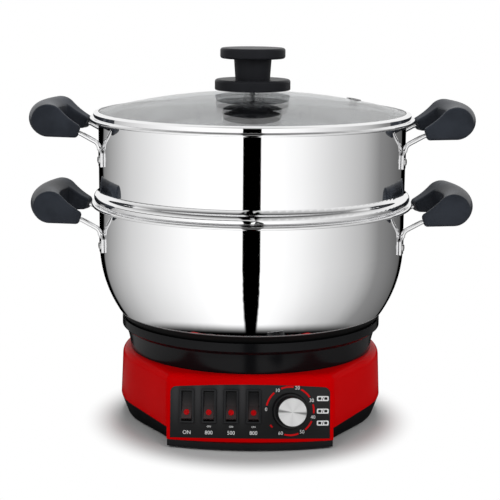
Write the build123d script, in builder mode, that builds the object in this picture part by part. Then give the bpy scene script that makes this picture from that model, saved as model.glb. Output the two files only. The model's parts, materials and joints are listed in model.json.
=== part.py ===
"""Electric hot pot: a base with a heater and a console, a lift-out pot, a steamer tier and a glass lid.

Millimetres, +Z up. The origin is on the pot's axis at the level of the ground, the console faces -Y
and the grips point along X.
"""

from build123d import *
import os
from math import acos, asin, atan2, cos, degrees, hypot, radians, sin, sqrt, tan

os.makedirs("parts", exist_ok=True)


def save(piece, label):
    """Label a finished piece and write it under its own name."""
    piece.part.label = label
    export_step(piece.part, f"parts/{label}.step")


# ---------------------------------------------------------------- driving sizes: fits
body_gap = 0.3  # between pieces of different bodies
seam_gap = 0.1  # between a piece and the pocket it is fixed in
running_gap = 0.05  # radial, between a shaft and its hole

# ---------------------------------------------------------------- driving sizes: base
foot_height = 2.0
foot_radius = 9.0
tray_wall = 2.5
tray_bevel = 6.7
side_parting_height = 19.0
console_bottom = 8.0
console_reach = 11.3
console_half_width = 77.5
console_narrowing = 0.5
console_overrun = 1.25
block_depth = 38.0
face_lean = 13.0
face_radius = 350.0
deck_width = 10.3
housing_narrowing = 2.7
housing_wall = 3.0
deck_height = 67.0
housing_edge_radius = 8.0
tray_toe = 4.0
tray_front_radius = 240.0
tray_front_inset = 0.5
dish_corner_step = 2.3
dish_corner_setback = 36.3
vent_slot_length = 22.0
vent_slot_width = 4.0
vent_slot_circle = 58.0
vent_slot_count = 12
boss_radius = 4.0
boss_setback = 16.7
boss_angles = (40.0, 140.0, 200.0, 340.0)
boss_top = 60.0
console_boss_x = 64.0
console_boss_setback = 36.0
rib_thickness = 3.0
rear_foot_x = 78.0
rear_foot_y = 62.0
front_foot_x = 48.0
front_foot_setback = 22.0
foot_plug_radius = 3.0
foot_plug_height = 4.0
screw_radius = 1.6
screw_length = 11.0
screw_head_radius = 3.4
screw_head_height = 1.6

# ---------------------------------------------------------------- driving sizes: collar
collar_top = 98.0
collar_setback = 22.0
collar_lip_height = 8.0
collar_waist_step = 3.9
collar_root_step = 4.2
collar_skirt_step = 2.4
collar_skirt_depth = 6.0
collar_lip_chamfer = 3.5
collar_wall = 2.4
collar_flare_radius = 60.0
bowl_clearance = 1.0
funnel_end_height = 72.0

# ---------------------------------------------------------------- driving sizes: console
panel_half_width = 74.2
panel_height = 49.5
panel_crown = 2.5
panel_margin = 3.6
panel_thickness = 1.8
panel_recess = 0.3
panel_ledge = 4.0
panel_corner_radius = 5.5
switch_count = 4
switch_first = -58.9
switch_pitch = 20.7
switch_drop = 20.0
bezel_width = 14.0
bezel_height = 32.0
bezel_thickness = 1.5
bezel_corner_radius = 1.2
bezel_chamfer = 0.5
rocker_opening_width = 10.0
rocker_opening_height = 28.0
switch_wall = 1.3
switch_depth = 15.0
rocker_swing_radius = 13.4
rocker_pivot_depth = 4.0
rocker_edge_height = 5.0
rocker_dip = 1.5
rocker_tilt = 10.0
rocker_pin_radius = 1.2
rocker_pin_reach = 1.0
lens_radius = 2.7
lens_depth = 1.3
lens_rise = 0.9
lens_edge_radius = 0.7
lens_place = 6.6
timer_place = 37.0
timer_drop = 24.0
timer_body_size = 36.0
timer_body_depth = 22.0
timer_corner_radius = 4.0
timer_shaft_radius = 3.0
timer_screw_place = 9.0
knob_base_radius = 17.0
knob_top_radius = 13.6
knob_height = 17.0
knob_lift = 0.5
knob_skirt_height = 5.0
knob_skirt_taper = 1.2
knob_waist_radius = 14.4
knob_hollow_radius = 13.5
knob_hollow_depth = 2.8
knob_wall_above = 5.0
dial_cap_radius = 13.0
dial_cap_thickness = 1.2
dial_cap_chamfer = 0.3

# ---------------------------------------------------------------- driving sizes: heater
heater_top = 58.0
heater_radius = 82.0
heater_thickness = 8.0
heater_chamfer = 1.0
tube_radius = 3.2
tube_circles = (30.0, 44.0, 74.0)
tube_leg_length = 18.0
tube_leg_spacing = 26.0
shield_height = 38.0
shield_sheet = 0.8
shield_floor_radius = 88.0
shield_rim_radius = 99.0
shield_rim_height = 70.0
shield_flange = 3.5
post_circle = 60.0
post_radius = 3.5
post_foot_radius = 5.0
post_count = 3
leg_hole_gap = 1.0
sensor_well_radius = 19.0
sensor_sleeve_wall = 1.6
sensor_cap_thickness = 3.5
sensor_cap_clearance = 0.1
sensor_cap_chamfer = 0.8
sensor_stem_radius = 3.0
sensor_travel = 3.0
holder_floor_height = 33.0
holder_sheet = 1.2
holder_flange_radius = 23.0
spring_radius = 9.0
spring_wire = 0.7
spring_turns = 4.0
cutout_radius = 8.5
cutout_circle = 59.0
cutout_angles = (30.0, 150.0)
cutout_height = 8.5
cutout_cap_radius = 6.8
block_length = 34.0
block_breadth = 16.0
block_height = 14.0
block_corner_radius = 2.0
terminal_radius = 3.2
block_x = 58.0
block_y = 42.0

# ---------------------------------------------------------------- driving sizes: power inlet
inlet_height = 36.0
inlet_flange_width = 50.0
inlet_flange_height = 23.0
inlet_flange_thickness = 2.5
inlet_corner_radius = 3.0
inlet_body_width = 27.0
inlet_body_height = 19.8
inlet_body_depth = 20.0
inlet_mouth_width = 24.0
inlet_mouth_height = 16.4
inlet_mouth_depth = 16.0
inlet_screw_spacing = 40.0
inlet_key = 4.5
inlet_seat_y = 120.0
inlet_border = 4.0
pin_width = 2.0
pin_breadth = 4.0
pin_setback = 1.0
pin_tab = 8.5
pin_spacing = 14.0
earth_offset = 4.0

# ---------------------------------------------------------------- driving sizes: pot and steamer
vessel_radius = 150.5
pot_sheet = 1.2
base_disc_thickness = 4.0
base_disc_chamfer = 1.3
pot_depth = 149.0
bowl_radius = 118.0
bowl_rise = 108.0
lip_bend = 1.0
pot_lip_width = 5.8
bead_radius = 1.7
bead_drop = 0.6
tier_sheet = 1.0
tier_height = 83.2
tier_lip_width = 6.9
shoulder_bulge = 5.0
shoulder_height = 15.0
shoulder_bulge_height = 6.0
shoulder_foot_width = 2.3
spigot_clearance = 0.7
spigot_bend = 2.0
spigot_depth = 10.0
ledge_width = 16.5
plate_margin = 12.5
plate_thickness = 1.0
plate_rim_height = 3.0
plate_hole_radius = 4.2
plate_hole_rings = 4
plate_ring_pitch = 28.0

# ---------------------------------------------------------------- driving sizes: grips
arm_place = 47.0
arm_drop = 12.0
grip_standoff = 12.5
grip_swing = 30.0
grip_tip_swing = 122.3
grip_tip_high = -5.0
grip_tip_bevel = 3.4
grip_tip_low = -16.0
grip_belly_swing = 152.4
grip_belly_low = -15.2
grip_crown_swing = 140.1
grip_crown_height = 10.3
grip_half_width = 52.5
grip_opening_depth = 22.0
grip_opening_bulge = 4.5
grip_opening_half = 32.0
grip_opening_mouth = 43.0
grip_opening_radius = 6.0
grip_edge_radius = 4.0
wire_radius = 2.3
wire_standoff = 0.3
wire_bend = 8.0
wire_socket_depth = 14.0
wire_socket_rise = 5.0
wire_knee_drop = 21.5
wire_end_drop = 26.5
pad_top_drop = 30.5
pad_height = 13.0
pad_width = 11.0
pad_thickness = 2.6
rivet_radius = 2.0
rivet_head_radius = 4.0
rivet_head_height = 1.4
rivet_tail_height = 0.8
rivet_head_taper = 35.0
grip_pin_radius = 1.2
grip_pin_place = 8.0
grip_pin_head = -15.2

# ---------------------------------------------------------------- driving sizes: lid
glass_thickness = 4.0
glass_overlap = 3.3
dome_radius = 595.0
band_sheet = 0.8
band_cover = 1.5
band_lip_width = 3.3
band_skirt_clearance = 1.2
band_skirt_depth = 8.0
vent_rim_distance = 43.5
vent_angle = 22.4
vent_flange_radius = 7.5
vent_tube_radius = 4.2
vent_hole_radius = 1.8
vent_flange_thickness = 1.4
vent_edge_radius = 0.9
gasket_thickness = 2.0
gasket_radius = 6.5
flange_radius = 37.0
flange_height = 10.5
flange_edge_radius = 2.5
neck_radius = 17.0
neck_top_radius = 18.4
neck_height = 20.0
cap_radius = 31.8
cap_height = 10.3
cap_edge_radius = 2.5
knob_screw_radius = 2.5
knob_bore_depth = 16.0
washer_radius = 9.0
washer_thickness = 1.2

low_centre = (Align.CENTER, Align.CENTER, Align.MIN)

# ---------------------------------------------------------------- levels that follow
tray_floor_top = foot_height + tray_wall
heater_underside = heater_top - heater_thickness
pot_floor = heater_top + base_disc_thickness
pot_seat = pot_floor + pot_depth
pot_lip_radius = vessel_radius + pot_lip_width
tier_lip_radius = vessel_radius + tier_lip_width
shoulder_radius = vessel_radius + shoulder_bulge
shoulder_foot_radius = vessel_radius + shoulder_foot_width
ledge_radius = vessel_radius - ledge_width
plate_radius = vessel_radius - plate_margin
collar_lip_radius = vessel_radius - collar_setback
collar_waist_radius = collar_lip_radius - collar_waist_step
collar_root_radius = collar_waist_radius - collar_root_step
collar_skirt_radius = collar_root_radius - collar_skirt_step
housing_radius = collar_root_radius + deck_width
tray_foot_radius = housing_radius - tray_bevel
boss_circle = housing_radius - boss_setback
console_front = housing_radius + console_reach
tray_front = console_front + tray_toe
dish_corner_x = console_half_width + dish_corner_step
dish_corner_y = console_front - dish_corner_setback
console_boss_y = console_front - console_boss_setback
front_foot_y = console_front - front_foot_setback
glass_radius = vessel_radius + glass_overlap
band_radius = glass_radius + seam_gap + band_cover
band_lip_reach = glass_radius - band_lip_width
band_skirt_radius = vessel_radius - tier_sheet - band_skirt_clearance
vent_circle = glass_radius - vent_rim_distance
grip_tip = vessel_radius + grip_standoff
grip_axis_place = grip_tip - sqrt(grip_tip_swing**2 - arm_place**2)
bowl_center_radius = vessel_radius - bowl_radius
bowl_center_height = pot_floor + bowl_rise
floor_radius = bowl_center_radius + sqrt(bowl_radius**2 - bowl_rise**2)
tier_seat = pot_seat + tier_height
block_back = block_depth - console_front
wire_circle = vessel_radius + wire_standoff + wire_radius
wire_reach = sqrt(wire_circle**2 - arm_place**2)
leg_angle = degrees(asin(arm_place / wire_circle))
glass_seat = tier_seat + band_sheet


def sag(radius, at):
    """Fall of an arc of the given radius below its crown, at a distance from the crown."""
    return radius - sqrt(radius**2 - at**2)


glass_top = glass_seat + glass_thickness + sag(dome_radius - glass_thickness, glass_radius)
glass_bottom = glass_top - glass_thickness

# ---------------------------------------------------------------- the console's leaning face
face_up = Vector(0, sin(radians(face_lean)), cos(radians(face_lean)))
face_out = Vector(0, -cos(radians(face_lean)), sin(radians(face_lean)))
face_foot = Vector(0, -console_front, console_bottom)
face_plane = Plane(origin=face_foot, x_dir=(1, 0, 0), z_dir=face_out)
face_axis = Plane(origin=face_foot - face_out * face_radius, x_dir=(1, 0, 0), z_dir=face_up)
panel_radius = face_radius - panel_recess
panel_top = panel_margin + panel_height


def face_depth(height, across, inset):
    """Y of the face, moved in by inset, at a height and a distance to the side."""
    bow = face_radius - sqrt((face_radius - inset) ** 2 - across**2)
    lean = radians(face_lean)
    return -console_front + (bow + sin(lean) * (height - console_bottom)) / cos(lean)


def panel_spot(along, drop):
    """Plane that touches the panel's face at an arc length from its middle and a drop from its top."""
    turn = along / panel_radius
    out = Vector(sin(turn), 0, 0) + face_out * cos(turn)
    across = Vector(cos(turn), 0, 0) - face_out * sin(turn)
    origin = face_axis.origin + out * panel_radius + face_up * (panel_top - drop)
    return Plane(origin=origin, x_dir=across, z_dir=out)


# ---------------------------------------------------------------- base housing and tray
def base_plan(height, radius, corner_x, corner_depth):
    """Round plan with two flanks tangent to it that run forward past a pair of corners."""
    turn = atan2(corner_depth, corner_x) - acos(radius / hypot(corner_x, corner_depth))
    flank_x = radius * cos(turn)
    flank_y = -radius * sin(turn)
    front_x = flank_x + (corner_x - flank_x) * console_overrun
    front_y = flank_y + (-corner_depth - flank_y) * console_overrun
    with BuildSketch(Plane.XY.offset(height)) as plan:
        with BuildLine():
            ThreePointArc((flank_x, flank_y), (0, radius), (-flank_x, flank_y))
            Polyline((-flank_x, flank_y), (-front_x, front_y), (front_x, front_y), (flank_x, flank_y))
        make_face()
    return plan.sketch


def housing_form(inset):
    """Outer form of the red shell, moved in by inset: a round tower with a console grown from it."""
    top = deck_height - inset
    foot_half = console_half_width - inset
    foot_corner_depth = -face_depth(console_bottom, foot_half, inset)
    foot_plan = base_plan(console_bottom, housing_radius - inset, foot_half, foot_corner_depth)
    top_radius = housing_radius - housing_narrowing - inset
    top_half = console_half_width - console_narrowing - inset
    top_plan = base_plan(top, top_radius, top_half, -face_depth(top, top_half, inset))
    with BuildPart() as form:
        loft([foot_plan, top_plan], ruled=True)
        with Locations(face_axis.location):
            Cylinder(face_radius - inset, 4 * console_front, mode=Mode.INTERSECT)
        rim = form.faces().sort_by(Axis.Z)[-1].edges()
        steep = form.edges().filter_by(lambda edge: abs(edge.tangent_at(0.5).Z) > 0.8)
        corners = steep.filter_by(lambda edge: edge.length > deck_height / 2).sort_by(Axis.Y)[:2]
        fillet([*rim, *corners], housing_edge_radius - inset)
    return form.part


def skirt_relief(inset):
    """All that lies below the side parting line, apart from the console's block, moved in by inset."""
    with BuildPart() as relief:
        with BuildSketch(Plane.XY.offset(console_bottom)):
            Circle(2 * housing_radius)
            with Locations((0, block_back)):
                Rectangle(
                    2 * (console_half_width - inset),
                    2 * console_front,
                    align=(Align.CENTER, Align.MAX),
                    mode=Mode.SUBTRACT,
                )
        extrude(amount=side_parting_height - console_bottom)
    return relief.part


def panel_outline(grow):
    """Outline of the fascia, grown by an amount: a flat foot, a crowned top and rounded top corners."""
    half = panel_half_width + grow
    foot = panel_margin - grow
    shoulder = panel_top - panel_crown + grow
    with BuildSketch(face_plane) as outline:
        with BuildLine():
            Polyline((-half, shoulder), (-half, foot), (half, foot), (half, shoulder))
            ThreePointArc((half, shoulder), (0, panel_top + grow), (-half, shoulder))
        make_face()
        fillet(outline.vertices().group_by(Axis.Y)[-1], panel_corner_radius)
    return outline.sketch


def panel_slab(grow, back):
    """Block with the fascia's outline that runs out from a curved back, a depth behind its face."""
    with BuildPart() as slab:
        extrude(panel_outline(grow), amount=panel_half_width / 3, both=True)
        with Locations(face_axis.location):
            Cylinder(panel_radius - back, 4 * console_front, mode=Mode.SUBTRACT)
    return slab.part


outer_form = housing_form(0)
inner_form = housing_form(housing_wall)
boss_spots = [
    (boss_circle * cos(radians(angle)), boss_circle * sin(radians(angle))) for angle in boss_angles
]
console_boss_spots = [(console_boss_x, -console_boss_y), (-console_boss_x, -console_boss_y)]
foot_spots = [
    (rear_foot_x, rear_foot_y),
    (-rear_foot_x, rear_foot_y),
    (front_foot_x, -front_foot_y),
    (-front_foot_x, -front_foot_y),
]
inlet_plane = Plane(origin=(0, inlet_seat_y, inlet_height), x_dir=(-1, 0, 0), z_dir=(0, 1, 0))
timer_plane = panel_spot(timer_place, timer_drop)
switch_planes = [
    panel_spot(switch_first + index * switch_pitch, switch_drop) for index in range(switch_count)
]
switch_body_width = rocker_opening_width + 2 * switch_wall
switch_body_height = rocker_opening_height + 2 * switch_wall

# The ribs run from the screw bosses into the middle of the shell's wall.
with BuildPart() as boss_ribs:
    for angle in boss_angles:
        with BuildSketch(Plane.XY.offset(side_parting_height).rotated((0, 0, angle))):
            with Locations((boss_circle, 0)):
                Rectangle(housing_radius - boss_circle, rib_thickness, align=(Align.MIN, Align.CENTER))
        extrude(amount=boss_top - side_parting_height)
    add(housing_form(housing_wall / 2), mode=Mode.INTERSECT)

# Solid surround of the power inlet's pocket, cut to the shell's own form.
with BuildPart() as inlet_surround:
    add(outer_form)
    with Locations(inlet_plane.offset(-housing_wall).location):
        Box(
            inlet_flange_width + 2 * inlet_border,
            inlet_flange_height + 2 * inlet_border,
            housing_radius,
            align=low_centre,
            mode=Mode.INTERSECT,
        )

# The red shell: its form, less the same form one wall further in, with a pocket and window for the
# fascia, a seat for the power inlet, and screw bosses on ribs.
with BuildPart() as base_housing:
    add(outer_form)
    add(skirt_relief(0), mode=Mode.SUBTRACT)
    add(inner_form - skirt_relief(housing_wall), mode=Mode.SUBTRACT)
    add(inlet_surround.part)
    add(panel_slab(seam_gap, panel_thickness), mode=Mode.SUBTRACT)
    add(panel_slab(-panel_ledge, panel_thickness + housing_wall), mode=Mode.SUBTRACT)
    for plane in switch_planes:
        with BuildSketch(plane):
            Rectangle(switch_body_width + 2 * body_gap, switch_body_height + 2 * body_gap)
        extrude(amount=-switch_depth, mode=Mode.SUBTRACT)
    with BuildSketch(Plane.XY.offset(deck_height - 2 * housing_edge_radius)):
        Circle(collar_skirt_radius + seam_gap)
    extrude(amount=2 * housing_edge_radius, mode=Mode.SUBTRACT)
    add(boss_ribs.part)
    with BuildSketch(Plane.XY.offset(tray_floor_top)):
        with Locations(*boss_spots):
            Circle(boss_radius)
    extrude(amount=boss_top - tray_floor_top)
    with BuildSketch(Plane.XY.offset(tray_floor_top)):
        with Locations(*console_boss_spots):
            Circle(boss_radius)
    extrude(amount=deck_height - housing_wall / 2 - tray_floor_top)
    with BuildSketch(Plane.XY.offset(tray_floor_top)):
        with Locations(*boss_spots, *console_boss_spots):
            Circle(screw_radius + running_gap)
    extrude(amount=screw_length, mode=Mode.SUBTRACT)
    with BuildSketch(inlet_plane):
        RectangleRounded(
            inlet_flange_width + 2 * seam_gap,
            inlet_flange_height + 2 * seam_gap,
            inlet_corner_radius,
        )
    extrude(amount=housing_radius, mode=Mode.SUBTRACT)
    with BuildSketch(inlet_plane):
        Rectangle(inlet_body_width + 2 * seam_gap, inlet_body_height + 2 * seam_gap)
        with GridLocations(inlet_screw_spacing, 1, 2, 1):
            Circle(screw_radius + running_gap)
    extrude(amount=-2 * housing_wall, mode=Mode.SUBTRACT)
save(base_housing, "base_housing")


def tray_form(inset, low):
    """Outer form of the tray, moved in by inset: a bevelled dish with a straight foot for the console."""
    rise = (side_parting_height - console_bottom) / (deck_height - console_bottom)
    seam_radius = housing_radius - housing_narrowing * rise - inset
    seam_half = console_half_width - console_narrowing * rise - inset
    seam_corner_depth = -face_depth(side_parting_height, seam_half, inset)
    foot_plan = base_plan(low, tray_foot_radius - inset, dish_corner_x - inset, dish_corner_y - inset)
    seam_plan = base_plan(side_parting_height, seam_radius, seam_half, seam_corner_depth)
    with BuildPart() as form:
        loft([foot_plan, seam_plan], ruled=True)
        with BuildSketch(Plane.XY.offset(low)):
            with Locations((0, block_back)):
                Rectangle(
                    2 * (console_half_width - tray_front_inset - inset),
                    2 * console_front,
                    align=(Align.CENTER, Align.MAX),
                )
        extrude(amount=side_parting_height - low)
        with BuildSketch(Plane.XY.offset(low)):
            with Locations((0, tray_front_radius - tray_front)):
                Circle(tray_front_radius - inset)
        extrude(amount=side_parting_height - low, mode=Mode.INTERSECT)
    return form.part


# The black tray closes the shell from below: a dished floor with vent slots under the heater.
with BuildPart() as base_tray:
    add(tray_form(0, foot_height))
    add(tray_form(tray_wall, tray_floor_top), mode=Mode.SUBTRACT)
    with BuildSketch(Plane.XY.offset(console_bottom)):
        with Locations((0, block_back)):
            Rectangle(2 * console_half_width, 2 * console_front, align=(Align.CENTER, Align.MAX))
    extrude(amount=side_parting_height, mode=Mode.SUBTRACT)
    with BuildSketch(Plane.XY.offset(foot_height)):
        with PolarLocations(vent_slot_circle, vent_slot_count, start_angle=15):
            SlotOverall(vent_slot_length, vent_slot_width)
        with Locations(*boss_spots, *console_boss_spots):
            Circle(screw_radius + running_gap)
        with Locations(*foot_spots):
            Circle(foot_plug_radius)
    extrude(amount=tray_wall, mode=Mode.SUBTRACT)
save(base_tray, "base_tray")

with BuildPart() as rubber_feet:
    with BuildSketch():
        with Locations(*foot_spots):
            Circle(foot_radius)
    extrude(amount=foot_height)
    chamfer(rubber_feet.faces().sort_by(Axis.Z)[0:4].edges(), foot_height / 4)
    with BuildSketch(Plane.XY.offset(foot_height)):
        with Locations(*foot_spots):
            Circle(foot_plug_radius)
    extrude(amount=foot_plug_height)
save(rubber_feet, "rubber_feet")

with BuildPart() as tray_screws:
    with BuildSketch(Plane.XY.offset(foot_height - screw_head_height)):
        with Locations(*boss_spots, *console_boss_spots):
            Circle(screw_head_radius)
    extrude(amount=screw_head_height)
    with BuildSketch(Plane.XY.offset(foot_height)):
        with Locations(*boss_spots, *console_boss_spots):
            Circle(screw_radius)
    extrude(amount=tray_wall + screw_length - screw_radius)
save(tray_screws, "tray_screws")


# ---------------------------------------------------------------- collar
def bowl_point(radius, height):
    """Point of the bowl's curve, or of one concentric with it, at a height."""
    fall = bowl_center_height - height
    return (bowl_center_radius + sqrt(radius**2 - fall**2), height)


# A hollow ring: an outer skirt that steps from its lip down into the shell, and an inner funnel that
# follows the pot's bowl.
with BuildPart() as collar_ring:
    funnel_face = bowl_radius + bowl_clearance
    funnel_back = funnel_face + collar_wall
    lip_bottom = collar_top - collar_lip_height
    waist = lip_bottom - collar_lip_chamfer
    skirt_inner = collar_skirt_radius - collar_wall
    skirt_end = deck_height - collar_skirt_depth
    with BuildSketch(Plane.XZ):
        with BuildLine():
            Polyline(
                bowl_point(funnel_face, collar_top),
                (collar_lip_radius, collar_top),
                (collar_lip_radius, lip_bottom),
                (collar_waist_radius, waist),
            )
            RadiusArc(
                (collar_waist_radius, waist), (collar_root_radius, deck_height), -collar_flare_radius
            )
            Polyline(
                (collar_root_radius, deck_height),
                (collar_skirt_radius, deck_height),
                (collar_skirt_radius, skirt_end),
                (skirt_inner, skirt_end),
                (skirt_inner, deck_height + collar_wall),
                (collar_root_radius - collar_wall, deck_height + collar_wall),
                (collar_waist_radius - collar_wall, waist),
                bowl_point(funnel_back, waist),
            )
            ThreePointArc(
                bowl_point(funnel_back, waist),
                bowl_point(funnel_back, (waist + funnel_end_height) / 2),
                bowl_point(funnel_back, funnel_end_height),
            )
            Line(bowl_point(funnel_back, funnel_end_height), bowl_point(funnel_face, funnel_end_height))
            ThreePointArc(
                bowl_point(funnel_face, funnel_end_height),
                bowl_point(funnel_face, (collar_top + funnel_end_height) / 2),
                bowl_point(funnel_face, collar_top),
            )
        make_face()
    revolve(axis=Axis.Z)
save(collar_ring, "collar_ring")

# ---------------------------------------------------------------- heater
tube_angles = [degrees(asin(tube_leg_spacing / 2 / circle)) for circle in tube_circles]
leg_spots = [
    (side * tube_leg_spacing / 2, -sqrt(circle**2 - tube_leg_spacing**2 / 4))
    for circle in tube_circles
    for side in (-1, 1)
]


def tube_rings(radius):
    """Open rings of round bar, bedded halfway in the plate, with their gaps at the front."""
    with BuildPart() as rings:
        for circle, half_gap in zip(tube_circles, tube_angles):
            with Locations(Location((0, 0, heater_underside), (0, 0, half_gap - 90))):
                Torus(circle, radius, major_angle=360 - 2 * half_gap)
    return rings.part


with BuildPart() as heating_tubes:
    add(tube_rings(tube_radius))
    with Locations(*[(x, y, heater_underside) for x, y in leg_spots]):
        Sphere(tube_radius)
        Cylinder(tube_radius, tube_leg_length, align=(Align.CENTER, Align.CENTER, Align.MAX))
save(heating_tubes, "heating_tubes")

with BuildPart() as heater_plate:
    with BuildSketch(Plane.XY.offset(heater_underside)):
        Circle(heater_radius)
        Circle(sensor_well_radius, mode=Mode.SUBTRACT)
    extrude(amount=heater_thickness)
    chamfer(heater_plate.faces().sort_by(Axis.Z)[-1].edges(), heater_chamfer)
    add(tube_rings(tube_radius + seam_gap), mode=Mode.SUBTRACT)
    with Locations(*[(x, y, heater_underside) for x, y in leg_spots]):
        Sphere(tube_radius + seam_gap, mode=Mode.SUBTRACT)
save(heater_plate, "heater_plate")

with BuildPart() as heater_posts:
    with BuildSketch(Plane.XY.offset(tray_floor_top)):
        with PolarLocations(post_circle, post_count, start_angle=90):
            Circle(post_foot_radius)
    extrude(amount=shield_height - tray_floor_top)
    with BuildSketch(Plane.XY.offset(shield_height)):
        with PolarLocations(post_circle, post_count, start_angle=90):
            Circle(post_radius)
    extrude(amount=heater_underside - shield_height)
save(heater_posts, "heater_posts")

with BuildPart() as heat_shield:
    sleeve_radius = sensor_well_radius - body_gap - seam_gap
    with BuildSketch(Plane.XZ):
        with BuildLine():
            Polyline(
                (sleeve_radius + seam_gap, shield_height),
                (shield_floor_radius, shield_height),
                (shield_rim_radius, shield_rim_height),
                (shield_rim_radius + shield_flange, shield_rim_height),
            )
            offset(amount=shield_sheet, side=Side.LEFT, kind=Kind.INTERSECTION)
        make_face()
    revolve(axis=Axis.Z)
    with BuildSketch(Plane.XY.offset(shield_height)):
        with PolarLocations(post_circle, post_count, start_angle=90):
            Circle(post_radius + seam_gap)
        with Locations(*leg_spots):
            Circle(tube_radius + leg_hole_gap)
    extrude(amount=2 * shield_sheet, mode=Mode.SUBTRACT)
save(heat_shield, "heat_shield")

with BuildPart() as sensor_holder:
    shelf = shield_height + shield_sheet
    with BuildSketch(Plane.XY.offset(holder_floor_height)):
        Circle(sleeve_radius)
        Circle(sensor_stem_radius + running_gap, mode=Mode.SUBTRACT)
    extrude(amount=heater_top - 2 * holder_sheet - holder_floor_height)
    with BuildSketch(Plane.XY.offset(holder_floor_height + holder_sheet)):
        Circle(sleeve_radius - sensor_sleeve_wall)
    extrude(amount=heater_thickness + heater_top, mode=Mode.SUBTRACT)
    with BuildSketch(Plane.XY.offset(shelf)):
        Circle(holder_flange_radius)
        Circle(sleeve_radius, mode=Mode.SUBTRACT)
    extrude(amount=holder_sheet)
save(sensor_holder, "sensor_holder")

with BuildPart() as sensor_plunger:
    cap_top = heater_top - sensor_cap_clearance
    with BuildSketch(Plane.XY.offset(cap_top - sensor_cap_thickness)):
        Circle(sleeve_radius - sensor_sleeve_wall - body_gap)
    extrude(amount=sensor_cap_thickness)
    chamfer(sensor_plunger.faces().sort_by(Axis.Z)[-1].edges(), sensor_cap_chamfer)
    with BuildSketch(Plane.XY.offset(holder_floor_height - 2 * sensor_travel)):
        Circle(sensor_stem_radius)
    extrude(amount=cap_top - sensor_cap_thickness - holder_floor_height + 2 * sensor_travel)
save(sensor_plunger, "sensor_plunger")

with BuildPart() as sensor_spring:
    spring_low = holder_floor_height + holder_sheet + spring_wire
    spring_high = cap_top - sensor_cap_thickness - spring_wire
    with BuildLine():
        coil = Helix(
            (spring_high - spring_low) / spring_turns,
            spring_high - spring_low,
            spring_radius,
            center=(0, 0, spring_low),
        )
    with BuildSketch(Plane(origin=coil @ 0, z_dir=coil % 0)):
        Circle(spring_wire)
    sweep(is_frenet=True)
save(sensor_spring, "sensor_spring")

with BuildPart() as thermal_cutouts:
    with BuildSketch(Plane.XY.offset(heater_underside)):
        for angle in cutout_angles:
            with Locations((cutout_circle * cos(radians(angle)), cutout_circle * sin(radians(angle)))):
                Circle(cutout_radius)
    extrude(amount=-cutout_height / 2)
    with BuildSketch(Plane.XY.offset(heater_underside - cutout_height / 2)):
        for angle in cutout_angles:
            with Locations((cutout_circle * cos(radians(angle)), cutout_circle * sin(radians(angle)))):
                Circle(cutout_cap_radius)
    extrude(amount=-cutout_height / 2)
save(thermal_cutouts, "thermal_cutouts")

with BuildPart() as terminal_block:
    with BuildSketch(Plane.XY.offset(tray_floor_top)):
        with Locations((block_x, block_y)):
            RectangleRounded(block_length, block_breadth, block_corner_radius)
    extrude(amount=block_height)
    with BuildSketch(Plane.XY.offset(tray_floor_top + block_height)):
        with Locations((block_x, block_y)):
            with GridLocations(block_length / 3, 1, 3, 1):
                Circle(terminal_radius)
    extrude(amount=-block_height / 2, mode=Mode.SUBTRACT)
save(terminal_block, "terminal_block")

# ---------------------------------------------------------------- power inlet
with BuildPart() as power_inlet:
    with BuildSketch(inlet_plane):
        RectangleRounded(inlet_flange_width, inlet_flange_height, inlet_corner_radius)
    extrude(amount=inlet_flange_thickness)
    with BuildSketch(inlet_plane):
        Rectangle(inlet_body_width, inlet_body_height)
    extrude(amount=-inlet_body_depth)
    with BuildSketch(inlet_plane.offset(inlet_flange_thickness)) as mouth:
        Rectangle(inlet_mouth_width, inlet_mouth_height)
        chamfer(mouth.vertices().group_by(Axis.Y)[-1], inlet_key)
    extrude(amount=-inlet_mouth_depth, mode=Mode.SUBTRACT)
    with BuildSketch(inlet_plane):
        with GridLocations(inlet_screw_spacing, 1, 2, 1):
            Circle(screw_radius + running_gap)
    extrude(amount=inlet_flange_thickness, mode=Mode.SUBTRACT)
    with BuildSketch(inlet_plane):
        with Locations(
            (-pin_spacing / 2, -earth_offset / 2),
            (pin_spacing / 2, -earth_offset / 2),
            (0, earth_offset / 2),
        ):
            Rectangle(pin_width, pin_breadth)
    extrude(amount=-2 * inlet_body_depth, mode=Mode.SUBTRACT)
save(power_inlet, "power_inlet")

with BuildPart() as inlet_pins:
    with BuildSketch(inlet_plane.offset(inlet_flange_thickness - pin_setback)):
        with Locations(
            (-pin_spacing / 2, -earth_offset / 2),
            (pin_spacing / 2, -earth_offset / 2),
            (0, earth_offset / 2),
        ):
            Rectangle(pin_width, pin_breadth)
    extrude(amount=pin_setback - inlet_flange_thickness - inlet_body_depth - pin_tab)
save(inlet_pins, "inlet_pins")

with BuildPart() as inlet_screws:
    with BuildSketch(inlet_plane.offset(inlet_flange_thickness)):
        with GridLocations(inlet_screw_spacing, 1, 2, 1):
            Circle(screw_head_radius)
    extrude(amount=screw_head_height)
    with BuildSketch(inlet_plane.offset(inlet_flange_thickness)):
        with GridLocations(inlet_screw_spacing, 1, 2, 1):
            Circle(screw_radius)
    extrude(amount=-inlet_flange_thickness - housing_wall - screw_radius)
save(inlet_screws, "inlet_screws")

# ---------------------------------------------------------------- control panel

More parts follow.
